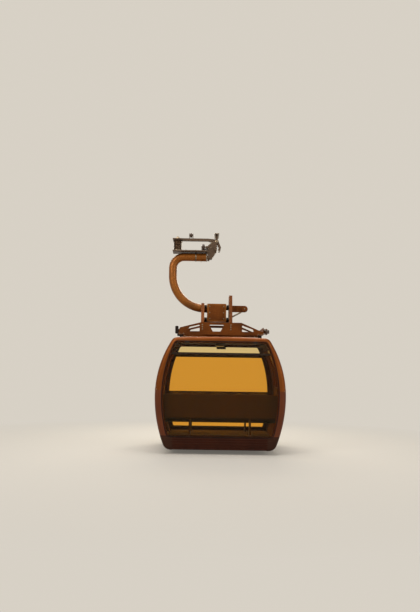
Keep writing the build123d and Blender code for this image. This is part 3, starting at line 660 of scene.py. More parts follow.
# End windows: fired border, rubber gasket, the vent pane's seals, hinges and latches, and the sill.
# Bars are given by their width and thickness, and each Y by how far it lies from the cabin's middle
endWindow = {
    "frit": 0.012, "fritThick": 0.0006, "gasket": (0.016, 0.007, 0.002), "gasketY": 0.9985,
    "ventBar": (1.743, 1.777), "seal": (0.008, 0.012), "sealY": 0.9875, "sealShort": 0.004,
    "hinges": (-0.62, 0.62), "hinge": (0.006, 0.024), "hingeReach": 0.04, "hingeY": 1.001, "hingeUp": 0.010,
    "knuckle": [(0, -0.03), (0.006, -0.03), (0.006, 0.03), (0, 0.03)], "knuckleY": 1.002, "knuckleUp": 0.011,
    "latches": (-0.42, 0.42), "latch": (0.020, 0.014), "latchReach": 0.028, "latchY": 0.972,
    "lever": (0.008, 0.012), "leverLength": 0.06, "leverY": (0.962, 0.955),
    "sill": (0.030, 0.016), "sillY": 0.9755, "sillUp": 0.012, "sillShort": 0.03,
}
for end, place in ((1, "Rear"), (-1, "Front")):
    outer, inner = windowOutline(window["overlap"] - 0.001), windowOutline(-endWindow["frit"])
    inner = inner[np.round(np.linspace(0, len(inner) - 1, len(outer))).astype(int)]
    thick = endWindow["fritThick"]
    y = end * (cabin["end"] - window["glassSet"] - window["glass"] - thick)
    rings = [standing(o, y - end * d) for o, d in ((outer, 0), (inner, 0), (inner, thick), (outer, thick))]
    border = gridShape(np.stack(rings[::-end], 1), True)
    meshPiece("windowBorder" + place, [border], "firedFrit", "carrier")

    path = standing(windowOutline(window["overlap"] + 0.002), end * endWindow["gasketY"])
    lift = np.tile((0.0, end, 0.0), (len(path), 1))
    side = np.cross(tangents(path, True), (0, 1, 0))
    gasket = gridShape(sweepGrid(path, side, lift, barProfile(*endWindow["gasket"])), True)
    meshPiece("windowGasket" + place, [gasket if end < 0 else turnedOver(gasket)], "mouldedRubber", "carrier")

    y = end * endWindow["sealY"]
    shapes = [acrossBar(0, windowX(h) - endWindow["sealShort"], y, h, *endWindow["seal"])
              for h in endWindow["ventBar"]]
    meshPiece("ventSeals" + place, shapes, "mouldedRubber", "carrier")

    shapes = []
    h = window["top"] + endWindow["hingeUp"]
    for x in endWindow["hinges"]:
        centre = atCabin(x, end * endWindow["knuckleY"], h + endWindow["knuckleUp"])
        shapes += [
            acrossBar(x, endWindow["hingeReach"], end * endWindow["hingeY"], h, *endWindow["hinge"], 0.3),
            turned(endWindow["knuckle"], centre, (1, 0, 0), 12),
        ]
    meshPiece("ventHinges" + place, shapes, "darkAnodised", "carrier")

    shapes = []
    h = sum(endWindow["ventBar"]) / 2
    for x in endWindow["latches"]:
        y1, y2 = (end * y for y in endWindow["leverY"])
        tip = atCabin(x + endWindow["leverLength"], y2, h)
        shapes += [
            acrossBar(x, endWindow["latchReach"], end * endWindow["latchY"], h, *endWindow["latch"], 0.3),
            straightBar(atCabin(x, y1, h), tip, *endWindow["lever"], 0.3),
        ]
    meshPiece("ventLatches" + place, shapes, "mouldedPlastic", "carrier")

    h = window["foot"] + endWindow["sillUp"]
    reach = windowX(h) - endWindow["sillShort"]
    sill = acrossBar(0, reach, end * endWindow["sillY"], h, *endWindow["sill"])
    meshPiece("windowSill" + place, [sill], "darkAnodised", "carrier")
print("end windows fitted")

# Belt trim with its caps, skirt lip and bolts, and bumper ribs, bent round the cabin's rounded edges
belt = {
    "height": 1.100, "bar": (0.018, 0.005), "proud": 0.0005, "pastDoor": 0.845, "windowGap": 0.03,
    "capHeights": (1.100, 1.160), "capX": 1.172,
    "cap": [(0, -0.002), (0.011, -0.002), (0.010, 0.002), (0.006, 0.005), (0, 0.006)],
    "ribs": (0.180, 0.205, 0.230), "rib": (0.009, 0.007), "ribStart": 0.855, "ribStop": 0.878,
    "ribSunk": 0.001, "lipReach": 0.866, "lip": (0.006, 0.016), "lipHeight": 0.030, "lipY": 1.0015,
    "bolts": np.linspace(-0.82, 0.82, 7), "boltHeight": 0.242, "boltY": 0.9995, "bolt": 0.008,
}
bars, ribs, caps = [], [], []
stop = windowX(belt["height"]) + belt["windowGap"]
for side in (1, -1):
    for end in (1, -1):
        start = belt["pastDoor"] if side < 0 else 0.0
        bars.append(trimBar(levelLine(belt["height"], side, end, start, stop, belt["proud"]), *belt["bar"]))
        for h in belt["capHeights"]:
            line = levelLine(h, side, end, 0.0, stop)
            spot = np.abs(np.abs(line[:, 0] - cabin["x"]) - belt["capX"]).argmin()
            out = np.cross(line[spot + 1] - line[spot - 1], (0, 0, 1))
            out *= np.sign(out @ (line[spot] - (cabin["x"], 0, line[spot, 2])))
            caps.append(turned(belt["cap"], line[spot], out, 16))
        for h in belt["ribs"]:
            line = levelLine(h, side, end, belt["ribStart"], belt["ribStop"], -belt["ribSunk"])
            ribs.append(trimBar(line, *belt["rib"]))
meshPiece("beltTrim", bars, "anodisedProfile", "carrier")
meshPiece("beltCaps", caps, "turnedSteel", "carrier")
meshPiece("bumperRibs", ribs, "texturedBumper", "carrier")
lips = [acrossBar(0, belt["lipReach"], end * belt["lipY"], belt["lipHeight"], *belt["lip"], 0.3)
        for end in (1, -1)]
meshPiece("skirtLips", lips, "ribbedSkirt", "carrier")
places = [(atCabin(x, end * belt["boltY"], belt["boltHeight"]), (0, end, 0))
          for end in (1, -1) for x in belt["bolts"]]
boltSet("skirtBolts", places, belt["bolt"], "carrier", "darkAnodised")
print("belt and skirt trimmed")

# Gaskets of the side and door windows, the doors' seals and grips, and the sill plate with its ribs, which
# are given as alongBar takes them
sides = {
    "foot": 1.130, "top": 1.880, "corner": 0.030, "gasket": (0.014, 0.007, 0.002), "fixedInset": 0.043,
    "spans": ((-0.820, -0.450), (-0.410, 0.410), (0.450, 0.820)),
    "leafWindow": (0.058, 0.375), "leafFoot": 0.700, "gripY": 0.032, "gripRadius": 0.007,
    "leafSeals": (           # edge, outer and bulb seal: Y, foot, top, inset and cross-section
        (0.0085, 0.108, 1.938, 0.0, (0.011, 0.006, 0.002)),
        (0.4225, 0.108, 1.938, 0.0, (0.012, 0.005, 0.002)),
        (0.0019, 0.144, 1.882, 0.0175, (0.003, 0.020, 0.001)),
    ),
    "openingSeal": (0.411, 0.205, 1.930, 0.043, (0.012, 0.014, 0.003)),
    "grip": ((0.98, 0.0), (0.985, 0.012), (1.0, 0.018), (1.14, 0.018), (1.155, 0.012), (1.16, 0.0)),
    "sill": (-1.019, -0.398, 0.398, 0.2015, 0.034, 0.003, 0.4),
    "sillRibs": (-1.031, -1.022, -1.013), "sillRib": (-0.40, 0.40, 0.2035, 0.004, 0.003, 0.3),
}


# Points on the side wall with its normals: x follows the wall's arc at an inset; side is +1 at the right
def onWall(y, heights, side, inset):
    path = np.stack([sideX(heights, inset) * side + cabin["x"], y, heights + cabin["foot"]], -1)
    radius = np.where(heights > cabin["belt"], cabin["upperRadius"], cabin["lowerRadius"])
    slope = (heights - cabin["belt"]) / radius
    return path, np.stack([np.sqrt(1 - slope ** 2) * side, 0 * slope, slope], -1)


# A gasket round a window in the side wall, with u in the wall's surface and v along its normal; its outline
# has 4 steps along each level edge and 13 up each upright one, so its corners are points 0, 4, 17 and 21
def wallGasket(low, high, foot, side, inset=0.0):
    across, up = np.linspace(low, high, 5), np.linspace(foot, sides["top"], 14)
    y = np.concatenate([across[:-1], np.full(13, high), across[:0:-1], np.full(13, low)])
    heights = np.concatenate([np.full(4, foot), up[:-1], np.full(4, sides["top"]), up[:0:-1]])
    outline = roundCorners(np.stack([y, heights], -1), dict.fromkeys((0, 4, 17, 21), sides["corner"]), 6)
    path, normal = onWall(*outline.T, side, inset)
    out = np.cross(tangents(path, True), normal)
    shape = gridShape(sweepGrid(path, out, normal, barProfile(*sides["gasket"])), True)
    return shape if side > 0 else turnedOver(shape)


# An upright strip on the left wall, with u along Y and v along the wall's normal
def wallStrip(end, y, foot, top, inset, profile):
    path, normal = onWall(np.full(40, end * y), np.linspace(foot, top, 40), -1, inset)
    return closedSweep(path, np.tile((0.0, 1.0, 0.0), (40, 1)), normal, barProfile(*profile))


shapes = [wallGasket(*span, sides["foot"], 1) for span in sides["spans"]]
meshPiece("sideWindowGaskets", shapes, "mouldedRubber", "carrier")
shapes = [wallGasket(*span, sides["foot"], -1, sides["fixedInset"]) for span in sides["spans"][::2]]
meshPiece("quarterWindowGaskets", shapes, "mouldedRubber", "carrier")
for end, place in ((1, "Rear"), (-1, "Front")):
    body = "door_" + place.lower()
    low, high = sorted(end * y for y in sides["leafWindow"])
    meshPiece("doorGasket" + place, [wallGasket(low, high, sides["leafFoot"], -1)], "mouldedRubber", body)
    shapes = [wallStrip(end, *seal) for seal in sides["leafSeals"]]
    meshPiece("doorSeals" + place, shapes, "mouldedRubber", body)
    handle = [atCabin(-sideX(h, -proud), end * sides["gripY"], h) for h, proud in sides["grip"]]
    meshPiece("doorGrip" + place, [tube(handle, sides["gripRadius"], 12)], "turnedSteel", body)
# these close the gap between the fixed frames and the leaves
shapes = [wallStrip(end, *sides["openingSeal"]) for end in (1, -1)]
meshPiece("openingSeals", shapes, "mouldedRubber", "carrier")
shapes = [alongBar(*sides["sill"])] + [alongBar(x, *sides["sillRib"]) for x in sides["sillRibs"]]
meshPiece("sillPlate", shapes, "turnedSteel", "carrier")
print("side windows and doors trimmed")

# Cushions: crowned closed forms whose sides pull in between their corners, blown up as cloth and then sewn
pads = {
    "count": 5, "pitch": 0.41521, "fill": 0.85, "piping": 0.0036, "pipingSet": 0.0045, "pipingUp": 0.30,
    "start": 0.94, "grow": (0.012, 0.010, 0.0),      # the form before it swells, as a share and by lengths
    "voxel": 0.006, "pressure": 4.0, "quality": 5, "frames": 20,
    "cap": 0.009,            # no point moves further than this
    "flat": 0.30,            # below this share of the height it rests on its board
    "rows": 33, "columns": 96, "round": (0.30, 0.22), "pull": 0.006, "crown": 0.14,
    "channel": 0.0035, "channelWidth": 0.007, "channelsAt": (0.30, 0.02),
}
cushions = {                 # width, depth and height, the place in Y and height, and the tip in degrees
    "Seat": ((0.398, 0.325, 0.055), (0.6245, 0.6288), 0),
    "Back": ((0.398, 0.325, 0.042), (0.8173, 0.8305), 80.54),
}


# The value's size raised to a power, with its sign kept
def signedPower(value, exponent):
    return np.sign(value) * np.abs(value) ** exponent


# A superellipsoid: cosines and sines of two turns raised to small powers, so a box with round edges; its
# sides pull in by a few millimetres halfway between the corners and its top crowns
def cushionForm(width, depth, height):
    u = np.linspace(0, 2 * np.pi, pads["columns"], endpoint=False)[None, :]
    v = np.linspace(-np.pi / 2, np.pi / 2, pads["rows"])[:, None]
    round1, round2 = pads["round"]
    x = signedPower(np.cos(v), round1) * signedPower(np.cos(u), round2)
    y = signedPower(np.cos(v), round1) * signedPower(np.sin(u), round2)
    z = signedPower(np.sin(v), round1) * np.ones_like(u)
    crown = 1 - pads["crown"] + pads["crown"] * (1 - x ** 2) * (1 - y ** 2)
    return gridShape(np.stack([
        x * (width / 2 - pads["pull"] * (1 - y ** 2)), y * (depth / 2 - pads["pull"] * (1 - x ** 2)),
        z * height / 2 * crown,
    ], -1))


# A mesh's points as rows of X, Y and Z
def readPoints(mesh):
    points = np.empty(len(mesh.vertices) * 3)
    mesh.vertices.foreach_get("co", points)
    return points.reshape(-1, 3)


# Takes over what the modifiers make and removes them
def applyModifiers(piece):
    result = bpy.data.meshes.new_from_object(piece.evaluated_get(bpy.context.evaluated_depsgraph_get()))
    piece.modifiers.clear()
    piece.data = result
    result.shade_smooth()


# The cushion's mesh after the cloth has blown it up; points that rest on the bench stay flat
def blownCushion(name, size):
    start = [length * pads["start"] + more for length, more in zip(size, pads["grow"])]
    piece = meshPiece(name, [cushionForm(*start)], "coatedWeave")
    remesh = piece.modifiers.new("voxels", "REMESH")
    remesh.mode = "VOXEL"
    remesh.voxel_size = pads["voxel"]
    applyModifiers(piece)
    rest = readPoints(piece.data)
    resting = np.flatnonzero(rest[:, 2] < -size[2] * pads["flat"])
    piece.vertex_groups.new(name="resting").add(resting.tolist(), 1.0, "REPLACE")
    cloth = piece.modifiers.new("cloth", "CLOTH").settings
    cloth.use_pressure = True
    cloth.uniform_pressure_force = pads["pressure"]
    cloth.vertex_group_mass = "resting"
    cloth.quality = pads["quality"]
    cloth.effector_weights.gravity = 0
    for step in range(1, pads["frames"] + 1):
        bpy.context.scene.frame_set(step)
    applyModifiers(piece)
    bpy.context.scene.frame_set(1)
    move = readPoints(piece.data) - rest
    length = np.linalg.norm(move, axis=1, keepdims=True)
    move *= np.minimum(1, pads["cap"] / np.maximum(length, tiny))
    limit = np.array(size) / 2
    piece.data.vertices.foreach_set("co", np.clip(rest + move, -limit, limit).ravel())
    piece.data.update()
    return piece


# Sewn channels, two lengthwise and one between them: points of the top sink by a bell curve of their distance
def sewChannels(mesh, width, depth):
    points = readPoints(mesh)
    across, up = np.array(pads["channelsAt"]) * (width, depth)
    lines = [np.abs(points[:, 0] - side * across) for side in (-1, 1)]
    lines.append(np.where(np.abs(points[:, 0]) < across, np.abs(points[:, 1] - up), 1.0))
    top = points[:, 2] > 0
    for distance in lines:
        bell = np.exp(-(distance / pads["channelWidth"]) ** 2)
        points[:, 2] -= np.where(top, pads["channel"] * bell, 0)
    mesh.vertices.foreach_set("co", points.ravel())
    mesh.update()


# The piping: a tube on a superellipse round the cushion a little above its middle, carried to its place
def pipingShape(width, depth, height, matrix):
    turn = np.linspace(0, 2 * np.pi, pads["columns"], endpoint=False)
    x, y = (signedPower(f(turn), pads["round"][1]) * (reach / 2 - pads["pipingSet"])
            for f, reach in ((np.cos, width), (np.sin, depth)))
    path = np.stack([x, y, np.full(len(x), height * pads["pipingUp"])], -1)
    points, faces = tube(path, pads["piping"], 6, True)
    m = np.array(matrix)
    return points @ m[:3, :3].T + m[:3, 3], faces


forms = {}
for kind, (size, spot, tip) in cushions.items():
    forms[kind] = blownCushion("cushion" + kind, size)
    sewChannels(forms[kind].data, *size[:2])
halfTurn = Matrix.Translation((2 * cabin["x"], 0, 0)) @ Matrix.Rotation(math.pi, 4, "Z")
for end, place in ((1, "Rear"), (-1, "Front")):
    piping = []
    for kind, (size, spot, tip) in cushions.items():
        for number in range(pads["count"]):
            x = (number - (pads["count"] - 1) / 2) * pads["pitch"]
            matrix = Matrix.Translation(atCabin(x, *spot)) @ Matrix.Rotation(math.radians(tip), 4, "X")
            if end < 0:
                matrix = halfTurn @ matrix
            cushion = forms[kind].copy()
            cushion.data = forms[kind].data.copy()
            cushion.name = f"cushion{kind}{place}{number + 1}"
            cushion.data.transform(matrix)
            bpy.context.scene.collection.objects.link(cushion)
            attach(cushion, "carrier")
            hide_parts("bench_pads_" + place.lower())
            piping.append(pipingShape(*size, matrix))
    meshPiece("cushionPiping" + place, piping, "mouldedPlastic", "carrier")
for form in forms.values():
    bpy.data.objects.remove(form)
print("cushions sewn")

# Bench edges, lamp cover and intercom box inside; the box and its slots as acrossBar and alongBar take them
inside = {
    "tube": 0.019, "tubeReach": 1.058, "tubeY": 0.450, "tubeHeight": 0.491,
    "lampHalf": (0.080, 0.150), "lampHeight": 1.9375, "lampBulge": 0.010,
    "box": (0.042, 0.095, 0.800, 1.960, 0.090, 0.110, 0.12),
    "slots": np.linspace(-0.010, 0.094, 9), "slot": (0.760, 0.840, 1.9145, 0.003, 0.006),
}
shapes = []
for end in (1, -1):
    stops = [atCabin(x, end * inside["tubeY"], inside["tubeHeight"])
             for x in (-inside["tubeReach"], 0, inside["tubeReach"])]
    shapes.append(tube(stops, inside["tube"], 12))
meshPiece("benchEdges", shapes, "darkAnodised", "carrier")
# the cover is a flat dish with round shoulders: it hangs by (1 - u^4)(1 - v^4)
u = np.linspace(-1, 1, 25)[None, :]
v = np.linspace(-1, 1, 25)[:, None]
width, length = inside["lampHalf"]
dip = inside["lampBulge"] * (1 - u ** 4) * (1 - v ** 4)
points = np.stack(np.broadcast_arrays(*atCabin(u * width, v * length, inside["lampHeight"] - dip)), -1)
meshPiece("lampCover", [turnedOver(gridShape(points, False, False))], "opalCover", "carrier")
meshPiece("intercomBox", [acrossBar(*inside["box"])], "mouldedPlastic", "carrier")
shapes = [alongBar(x, *inside["slot"]) for x in inside["slots"]]
meshPiece("intercomGrille", shapes, "darkAnodised", "carrier")
print("inside fitted")

# Roof: seams where the roof panel meets the cantrails and the end frames
roof = {
    "panel": 0.790, "panelFoot": 2.0, "end": 0.850, "seam": (0.008, 0.003), "seamProud": 0.0005,
    "hoop": (0.007, 0.003, 0.0008), "hoopFoot": 1.12,
}
topHalf = shellRing[shellRing[:, 1] > roof["panelFoot"]]
topHalf = topHalf[np.argsort(topHalf[:, 0])]
shapes = []
for x in (-roof["panel"], roof["panel"]):
    h = np.interp(x, *topHalf.T) + roof["seamProud"]
    shapes.append(alongBar(x, -roof["end"], roof["end"], h, *roof["seam"]))
hoop = shellRing[shellRing[:, 1] > roof["hoopFoot"]]
hoop = hoop[np.argsort(np.arctan2(hoop[:, 0], hoop[:, 1] - cabin["middle"]))]
across = np.tile((0.0, 1.0, 0.0), (len(hoop), 1))
for y in (-roof["end"], roof["end"]):
    path = standing(hoop, y)
    out = np.cross(tangents(path, False), across)
    shapes.append(closedSweep(path, across, out, barProfile(*roof["hoop"])))
meshPiece("roofSeams", shapes, "mouldedRubber", "carrier")
print("roof seamed")

# Roof frame with the hanger's box: bolts, weld beads, washers, cover plates and the rubber buffers' ridges
rack = {
    "plateY": 0.456, "cheekX": 0.270, "cheekHeights": (2.242, 2.284, 2.326), "plateBolt": 0.011,
    "feet": (-0.665, 0.825), "footY": 0.45, "footBoltOut": 0.036, "footTop": 2.150, "footBolt": 0.0095,
    "webX": 0.252, "damperY": 0.124, "damperHeights": (2.453, 2.697), "damperBolt": 0.015,
    # how far off the plate's middle, the height, the two spans of X, the bead's radius and its pitch
    "footWeld": (0.0075, 2.1515, ((-0.600, -0.722), (0.768, 0.882)), 0.004, 0.008),
    "footWasher": [(0, -0.004), (0.043, -0.004), (0.045, -0.002), (0.045, 0.0015), (0, 0.0015)],
    "footWasherHeight": 2.136, "damperWasherX": (0.1885, 0.2375),
    "damperWasher": [(0, -0.0025), (0.043, -0.0025), (0.043, 0.0025), (0, 0.0025)],
    "ridgeHeights": (2.185, 2.223, 2.261), "ridgeX": (-0.784, -0.724), "ridgeHalf": 0.035, "ridge": 0.0035,
    "ridgeCorner": 0.013,
}
hangerBox = {
    "x": 0.186, "y": 0.165, "boltX": 0.135, "boltHeights": (2.465, 2.583, 2.701), "bolt": 0.012,
    "cover": (0.30, 0.005, 0.3), "coverProud": 0.002, "coverHeights": (2.439, 2.727),
    "armHeight": 2.673, "armWeld": (0.0055, 0.009), "armWeldRadius": 0.079, "armWeldOut": 0.002,
}
leverBolts = [               # on the door control lever and the guide roller's bracket: place and axis
    *((overFoot(0.262, y, h), (1, 0, 0)) for y in (-0.07, 0.07) for h in (2.637, 2.717)),
    (overFoot(0.550, 0.022, 2.677), (0, 1, 0)), (overFoot(0.550, -0.0325, 2.677), (0, -1, 0)),
    (overFoot(0.985, 0, 2.284), (0, 0, 1)), (overFoot(0.985, 0, 2.182), (0, 0, -1)),
    *((overFoot(0.895, y, h), (1, 0, 0)) for y in (-0.40, 0.40) for h in (2.175, 2.262)),
]
both = (-1, 1)
places = [(overFoot(side * rack["cheekX"], end * rack["plateY"], h), (0, end, 0))
          for side in both for end in both for h in rack["cheekHeights"]]
boltSet("plateBolts", places, rack["plateBolt"], "carrier")
out = rack["footBoltOut"]
places = [(overFoot(x + dx * out, end * (rack["footY"] + dy * out), rack["footTop"]), (0, 0, 1))
          for x in rack["feet"] for end in both for dx in both for dy in both]
boltSet("footBolts", places, rack["footBolt"], "carrier")
dampers = [(side, dy * rack["damperY"], h) for side in both for dy in both for h in rack["damperHeights"]]
places = [(overFoot(side * rack["webX"], y, h), (side, 0, 0)) for side, y, h in dampers]
boltSet("damperBolts", places, rack["damperBolt"], "carrier")
boltSet("leverBolts", leverBolts, rack["plateBolt"], "carrier")
places = [(overFoot(side * hangerBox["boltX"], end * hangerBox["y"], h), (0, end, 0))
          for side in both for end in both for h in hangerBox["boltHeights"]]
boltSet("boxBolts", places, hangerBox["bolt"], "carrier")
y = hangerBox["y"] + hangerBox["coverProud"]
shapes = [straightBar(*(overFoot(0, end * y, h) for h in hangerBox["coverHeights"]), *hangerBox["cover"],
                      up=(0, end, 0)) for end in both]
meshPiece("boxCovers", shapes, "galvanisedPlate", "carrier")
centre = overFoot(-hangerBox["x"] - hangerBox["armWeldOut"], 0, hangerBox["armHeight"])
path = centre + hangerBox["armWeldRadius"] * ringRound((1, 0, 0), 72)
beads = [weldBead(path, *hangerBox["armWeld"], True)]
away, h, spans, radius, pitch = rack["footWeld"]
for end in both:
    for face in both:
        y = end * rack["footY"] + face * away
        beads += [weldBead([overFoot(x, y, h) for x in span], radius, pitch) for span in spans]
meshPiece("frameWelds", beads, "paintedCasting", "carrier")
h = rack["footWasherHeight"]
shapes = [turned(rack["footWasher"], overFoot(x, end * rack["footY"], h), (0, 0, 1), 32)
          for x in rack["feet"] for end in both]
shapes += [turned(rack["damperWasher"], overFoot(side * x, y, h), (1, 0, 0), 32)
           for side, y, h in dampers for x in rack["damperWasherX"]]
meshPiece("mountWashers", shapes, "turnedSteel", "carrier")
(x1, x2), half = rack["ridgeX"], rack["ridgeHalf"]
loop = np.array([(x1, -half), (x1, half), (x2, half), (x2, -half)])
loop = roundCorners(loop, dict.fromkeys(range(4), rack["ridgeCorner"]), 6)
loop = np.concatenate([loop, np.zeros((len(loop), 1))], -1)
shapes = [tube(loop + overFoot(0, end * rack["footY"], h), rack["ridge"], 8, True)
          for end in both for h in rack["ridgeHeights"]]
meshPiece("bufferRidges", shapes, "mouldedRubber", "carrier")
print("roof frame bolted")

# Rollers turned as a steel hub with a dished web, and a tyre with a crowned tread
rollerForm = {
    "rim": 0.74, "hub": 0.22,                        # as shares of the radius
    "faces": (0.55, 0.50, 0.90, 0.94, 0.97),         # of half the width: web's edge and middle, rim's edge
                                                     # and face, and tyre
    "tread": 0.86, "treadSteps": 9, "crown": 0.0022, "treadSet": 0.0002, "shoulder": 0.006, "bevel": 0.002,
}
rollers = {                  # name, centre, axis, radius, width and bore
    "guide_roller": ("guideRoller", overFoot(0.984908, 0, 2.233), (0, 0, 1), 0.062, 0.070, 0.0121),
    "coupling_roller": ("couplingRoller", (-0.520, 0, 0.262), (1, 0, 0), 0.045, 0.050, 0.0151),
    "running_roller_front": ("runningRollerFront", (-0.275, -0.110, 0.014), (1, 0, 0), 0.058, 0.050, 0.0151),
    "running_roller_rear": ("runningRollerRear", (-0.275, 0.110, 0.014), (1, 0, 0), 0.058, 0.050, 0.0151),
}
for node, (name, centre, axis, radius, width, bore) in rollers.items():
    half = width / 2
    rim, hub, bevel = radius * rollerForm["rim"], bore + radius * rollerForm["hub"], rollerForm["bevel"]
    webEdge, web, rimEdge, rimFace, tyreFace = (half * share for share in rollerForm["faces"])
    section = np.array([     # half of the hub's, from the bore to the rim
        (bore, half), (hub - bevel, half), (hub, half - bevel), (hub + bevel / 2, webEdge),
        (rim - bevel * 3, web), (rim - bevel * 2, rimEdge), (rim, rimFace),
    ])
    core = np.concatenate([section * (1, -1), section[::-1]])
    t = np.linspace(-rollerForm["tread"], rollerForm["tread"], rollerForm["treadSteps"])
    tread = np.stack([radius - rollerForm["crown"] * t ** 2 - rollerForm["treadSet"], t * half], -1)
    section = np.array([     # half of the tyre's, from the rim to its shoulder
        (rim, rimEdge), (rim + bevel * 1.5, tyreFace), (radius - rollerForm["shoulder"], tyreFace),
    ])
    tyre = np.concatenate([section * (1, -1), tread, section[::-1]])
    for suffix, profile, material in (("Hub", core, "turnedSteel"), ("Tyre", tyre, "rollerTyre")):
        piece = meshPiece(name + suffix, [turned(profile[::-1], centre, axis, 56, True)], material, node)
        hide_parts(node)
print("rollers turned")

# Clamping springs: wire on a helix whose pitch closes at both ends, radius and height as functions of the
# turn, with the cups they stand in and the nuts on the rods through them
spring = {
    "x": -0.780, "y": 0.088, "foot": -0.058, "top": 0.147, "radius": 0.066, "wire": 0.0125, "turns": 6.5,
    "close": 0.121, "keep": 0.335, "nutFoot": 0.172,
    "cup": [(0, 0), (0.081, 0), (0.083, 0.002), (0.083, 0.010), (0.080, 0.012), (0.078, 0.004), (0, 0.004)],
    "nuts": (
        (6, [(0, 0), (0.046, 0), (0.046, 0.022), (0.040, 0.026), (0, 0.026)]),
        (20, [(0, 0), (0.016, 0), (0.016, 0.044), (0.012, 0.048), (0, 0.048)]),
    ),
}
share = np.linspace(0, 1, 260)
turn = share * spring["turns"] * 2 * np.pi
rise = share - spring["close"] * np.sin(2 * np.pi * share) / (2 * np.pi)
length = spring["top"] - spring["foot"] - 2 * spring["wire"]
coil = np.stack([spring["x"] + spring["radius"] * np.cos(turn), spring["radius"] * np.sin(turn),
                 spring["foot"] + spring["wire"] + length * rise], -1)
shapes = [tube(coil + (0, side * spring["y"], 0), spring["wire"], 10) for side in both]
piece = meshPiece("clampingSprings", shapes, "oiledSpring", "grip")
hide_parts("grip_springs")
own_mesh(piece)
shapes = [turned(spring["cup"], (spring["x"], side * spring["y"], spring["foot"]), (0, 0, 1))
          for side in both]
meshPiece("springCups", shapes, "turnedSteel", "grip")
shapes = [turned(steps, (spring["x"], side * spring["y"], spring["nutFoot"]), (0, 0, 1), count)
          for count, steps in spring["nuts"] for side in both]
meshPiece("springNuts", shapes, "turnedSteel", "jaw_lever")

# Grip: the pins' caps, casting bolts, the hub's rings and weld, and its grease nipple
grip = {
    "earY": 0.060, "pivot": (-0.020, 0.140), "swingHeight": -0.167, "swingCapX": -0.157,
    "pivotCap": [(0, 0), (0.030, 0), (0.030, 0.005), (0.026, 0.008), (0, 0.008)],
    "swingCap": [(0, 0), (0.050, 0), (0.050, 0.008), (0.044, 0.014), (0.020, 0.014), (0.016, 0.026),
                 (0, 0.026)],
    "earBolts": ((-0.09, -0.035), (-0.13, -0.075), (-0.16, -0.15), (-0.10, -0.12)), "bolt": 0.011,
    "footBolts": [(x, y, -0.058) for x in (-0.62, -0.42) for y in (-0.13, 0.13)],
    "nipple": [(0, 0), (0.006, 0), (0.006, 0.006), (0.004, 0.008), (0.0035, 0.014), (0.005, 0.017),
               (0.003, 0.021), (0, 0.021)],
    "nippleX": -0.320, "hub": 0.080, "ringX": (-0.222, -0.424),
    "ring": [(0.072, 0), (0.085, 0), (0.086, 0.004), (0.085, 0.014), (0.072, 0.014)],
    "hubWeldX": -0.431, "hubWeldRadius": 0.0795, "hubWeld": (0.005, 0.009),
}
px, pz = grip["pivot"]
swing = grip["swingHeight"]
shapes = [turned(grip["pivotCap"], (px, side * grip["earY"], pz), (0, side, 0), 32) for side in both]
shapes.append(turned(grip["swingCap"], (grip["swingCapX"], 0, swing), (1, 0, 0)))
meshPiece("pinCaps", shapes, "turnedSteel", "grip")
places = [((px + dx, side * grip["earY"], pz + dz), (0, side, 0))
          for side in both for dx, dz in grip["earBolts"]]
places += [(place, (0, 0, 1)) for place in grip["footBolts"]]
boltSet("castingBolts", places, grip["bolt"], "grip")
shapes = [turned(grip["nipple"], (grip["nippleX"], 0, swing - grip["hub"]), (0, 0, -1), 16)]
shapes += [turned(grip["ring"], (x, 0, swing), (1, 0, 0), 56) for x in grip["ringX"]]
meshPiece("hubRings", shapes, "turnedSteel", "carrier")
path = np.array((grip["hubWeldX"], 0, swing)) + grip["hubWeldRadius"] * ringRound((1, 0, 0), 72)
meshPiece("hubWeld", [weldBead(path, *grip["hubWeld"], True)], "paintedCasting", "carrier")
print("grip fitted")

# Floor, light and camera
stage = {
    "drop": 0.075,               # the floor lies this far below the cabin
    "tone": "#c9c7c2",
    "air": "#e4ddd1",            # tone of the air round the object, which the floor fades into
    "airStrength": 0.88,
    "fade": (3.0, 8.5),
    "rings": (0.0, 2.0, 4.0, 6.0, 9.0, 14.0, 30.0, 90.0),
    "light": "#ece4d8",
    "lightStrength": 0.30,
}
lampsAim = Vector((0.0, 0.0, -2.6))
lamps = {                        # place, size, power and tone
    "softKey": ((-6.5, -8.5, 3.5), (5.0, 5.0), 560, "#fff4e6"),
    "softFill": ((7.5, -7.0, 1.0), (5.0, 5.0), 270, "#fff1e0"),
    "overhead": ((0.0, -1.0, 6.5), (7.0, 5.0), 520, "#ffffff"),
    "backGlow": ((0.0, 5.5, 2.0), (6.0, 4.0), 480, "#fff2dc"),
}
camera = {
    "place": (-0.198, -12.90, -2.390),
    "lens": 38.53,
    "sensor": 36.0,
    "shift": (0.0073, 0.105),
    "roll": 0.9,
}


# 1 for what the camera sees straight, in a reflection or through glass, and 0 for light falling on things
def seenShare(tree):
    rays = ("Is Camera Ray", "Is Glossy Ray", "Is Transmission Ray")
    share, *others = (addNode(tree, "LightPath", {}, ray) for ray in rays)
    for ray in others:
        share = addNode(tree, "Math", {"operation": "MAXIMUM", 0: share, 1: ray})
    return share


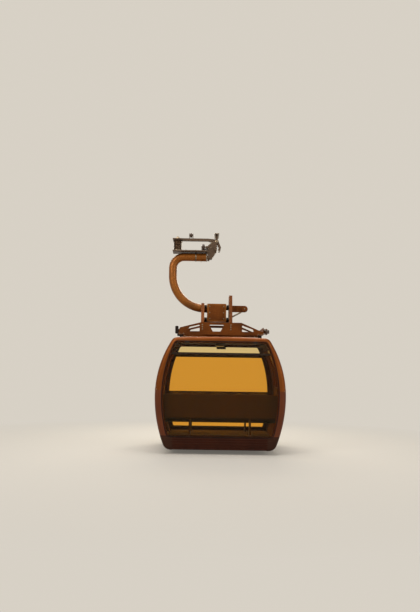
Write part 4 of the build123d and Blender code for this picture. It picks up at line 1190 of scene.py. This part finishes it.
# Pale floor: matt near the object, so that it takes the shadow, and fading with distance into the air's tone
def floorSurface(tree, place, look):
    distance = addNode(tree, "VectorMath", {"operation": "LENGTH", 0: place}, "Value")
    near, far = stage["fade"]
    away = addNode(tree, "MapRange", {"Value": distance, "From Min": near, "From Max": far})
    share = addNode(tree, "Math", {"operation": "MULTIPLY", 0: away, 1: seenShare(tree)})
    air = addNode(tree, "Emission", {"Color": stage["air"], "Strength": stage["airStrength"]})
    return addNode(tree, "MixShader", {0: share, 1: shaderOf(tree, look, {}), 2: air})


# The floor as rings of points round the object: point = (r cos a, r sin a)
finish["paleFloor"] = makeMaterial("paleFloor", floorSurface, {"tone": stage["tone"], "rough": 0.85})
turn = np.linspace(0, 2 * np.pi, 64, endpoint=False)
radius = np.array(stage["rings"])[:, None]
level = np.full((len(radius), 64), cabin["foot"] - stage["drop"])
points = np.stack([radius * np.cos(turn), radius * np.sin(turn), level], -1)
meshPiece("floorDisc", [turnedOver(gridShape(points))], "paleFloor")

for name, (place, size, power, tone) in lamps.items():
    data = bpy.data.lights.new(name, "AREA")
    data.shape = "RECTANGLE"
    data.size, data.size_y = size
    data.energy = power
    data.color = linearColour(tone)[:3]
    light = bpy.data.objects.new(name, data)
    bpy.context.scene.collection.objects.link(light)
    light.location = place
    light.rotation_euler = (lampsAim - Vector(place)).to_track_quat("-Z", "Y").to_euler()

# The world lights the object with a low even light and shows the air's tone where it is seen
world = bpy.data.worlds.new("studio")
bpy.context.scene.world = world
world.use_nodes = True
tree = world.node_tree
tree.nodes.clear()
light = addNode(tree, "Background", {"Color": stage["light"], "Strength": stage["lightStrength"]})
air = addNode(tree, "Background", {"Color": stage["air"], "Strength": stage["airStrength"]})
mix = addNode(tree, "MixShader", {0: seenShare(tree), 1: light, 2: air})
addNode(tree, "OutputWorld", {"Surface": mix})

# The camera looks level along +Y, with a slight roll about its own axis
data = bpy.data.cameras.new("photoCamera")
data.lens = camera["lens"]
data.sensor_width = camera["sensor"]
data.shift_x, data.shift_y = camera["shift"]
view = bpy.data.objects.new("photoCamera", data)
bpy.context.scene.collection.objects.link(view)
view.location = camera["place"]
roll = Matrix.Rotation(math.radians(camera["roll"]), 4, "Z")
view.rotation_euler = (Matrix.Rotation(math.radians(90), 4, "X") @ roll).to_euler()
bpy.context.scene.camera = view
bpy.context.scene.view_settings.view_transform = "Standard"
print("floor, lamps and camera set:", len(lamps), "lamps")
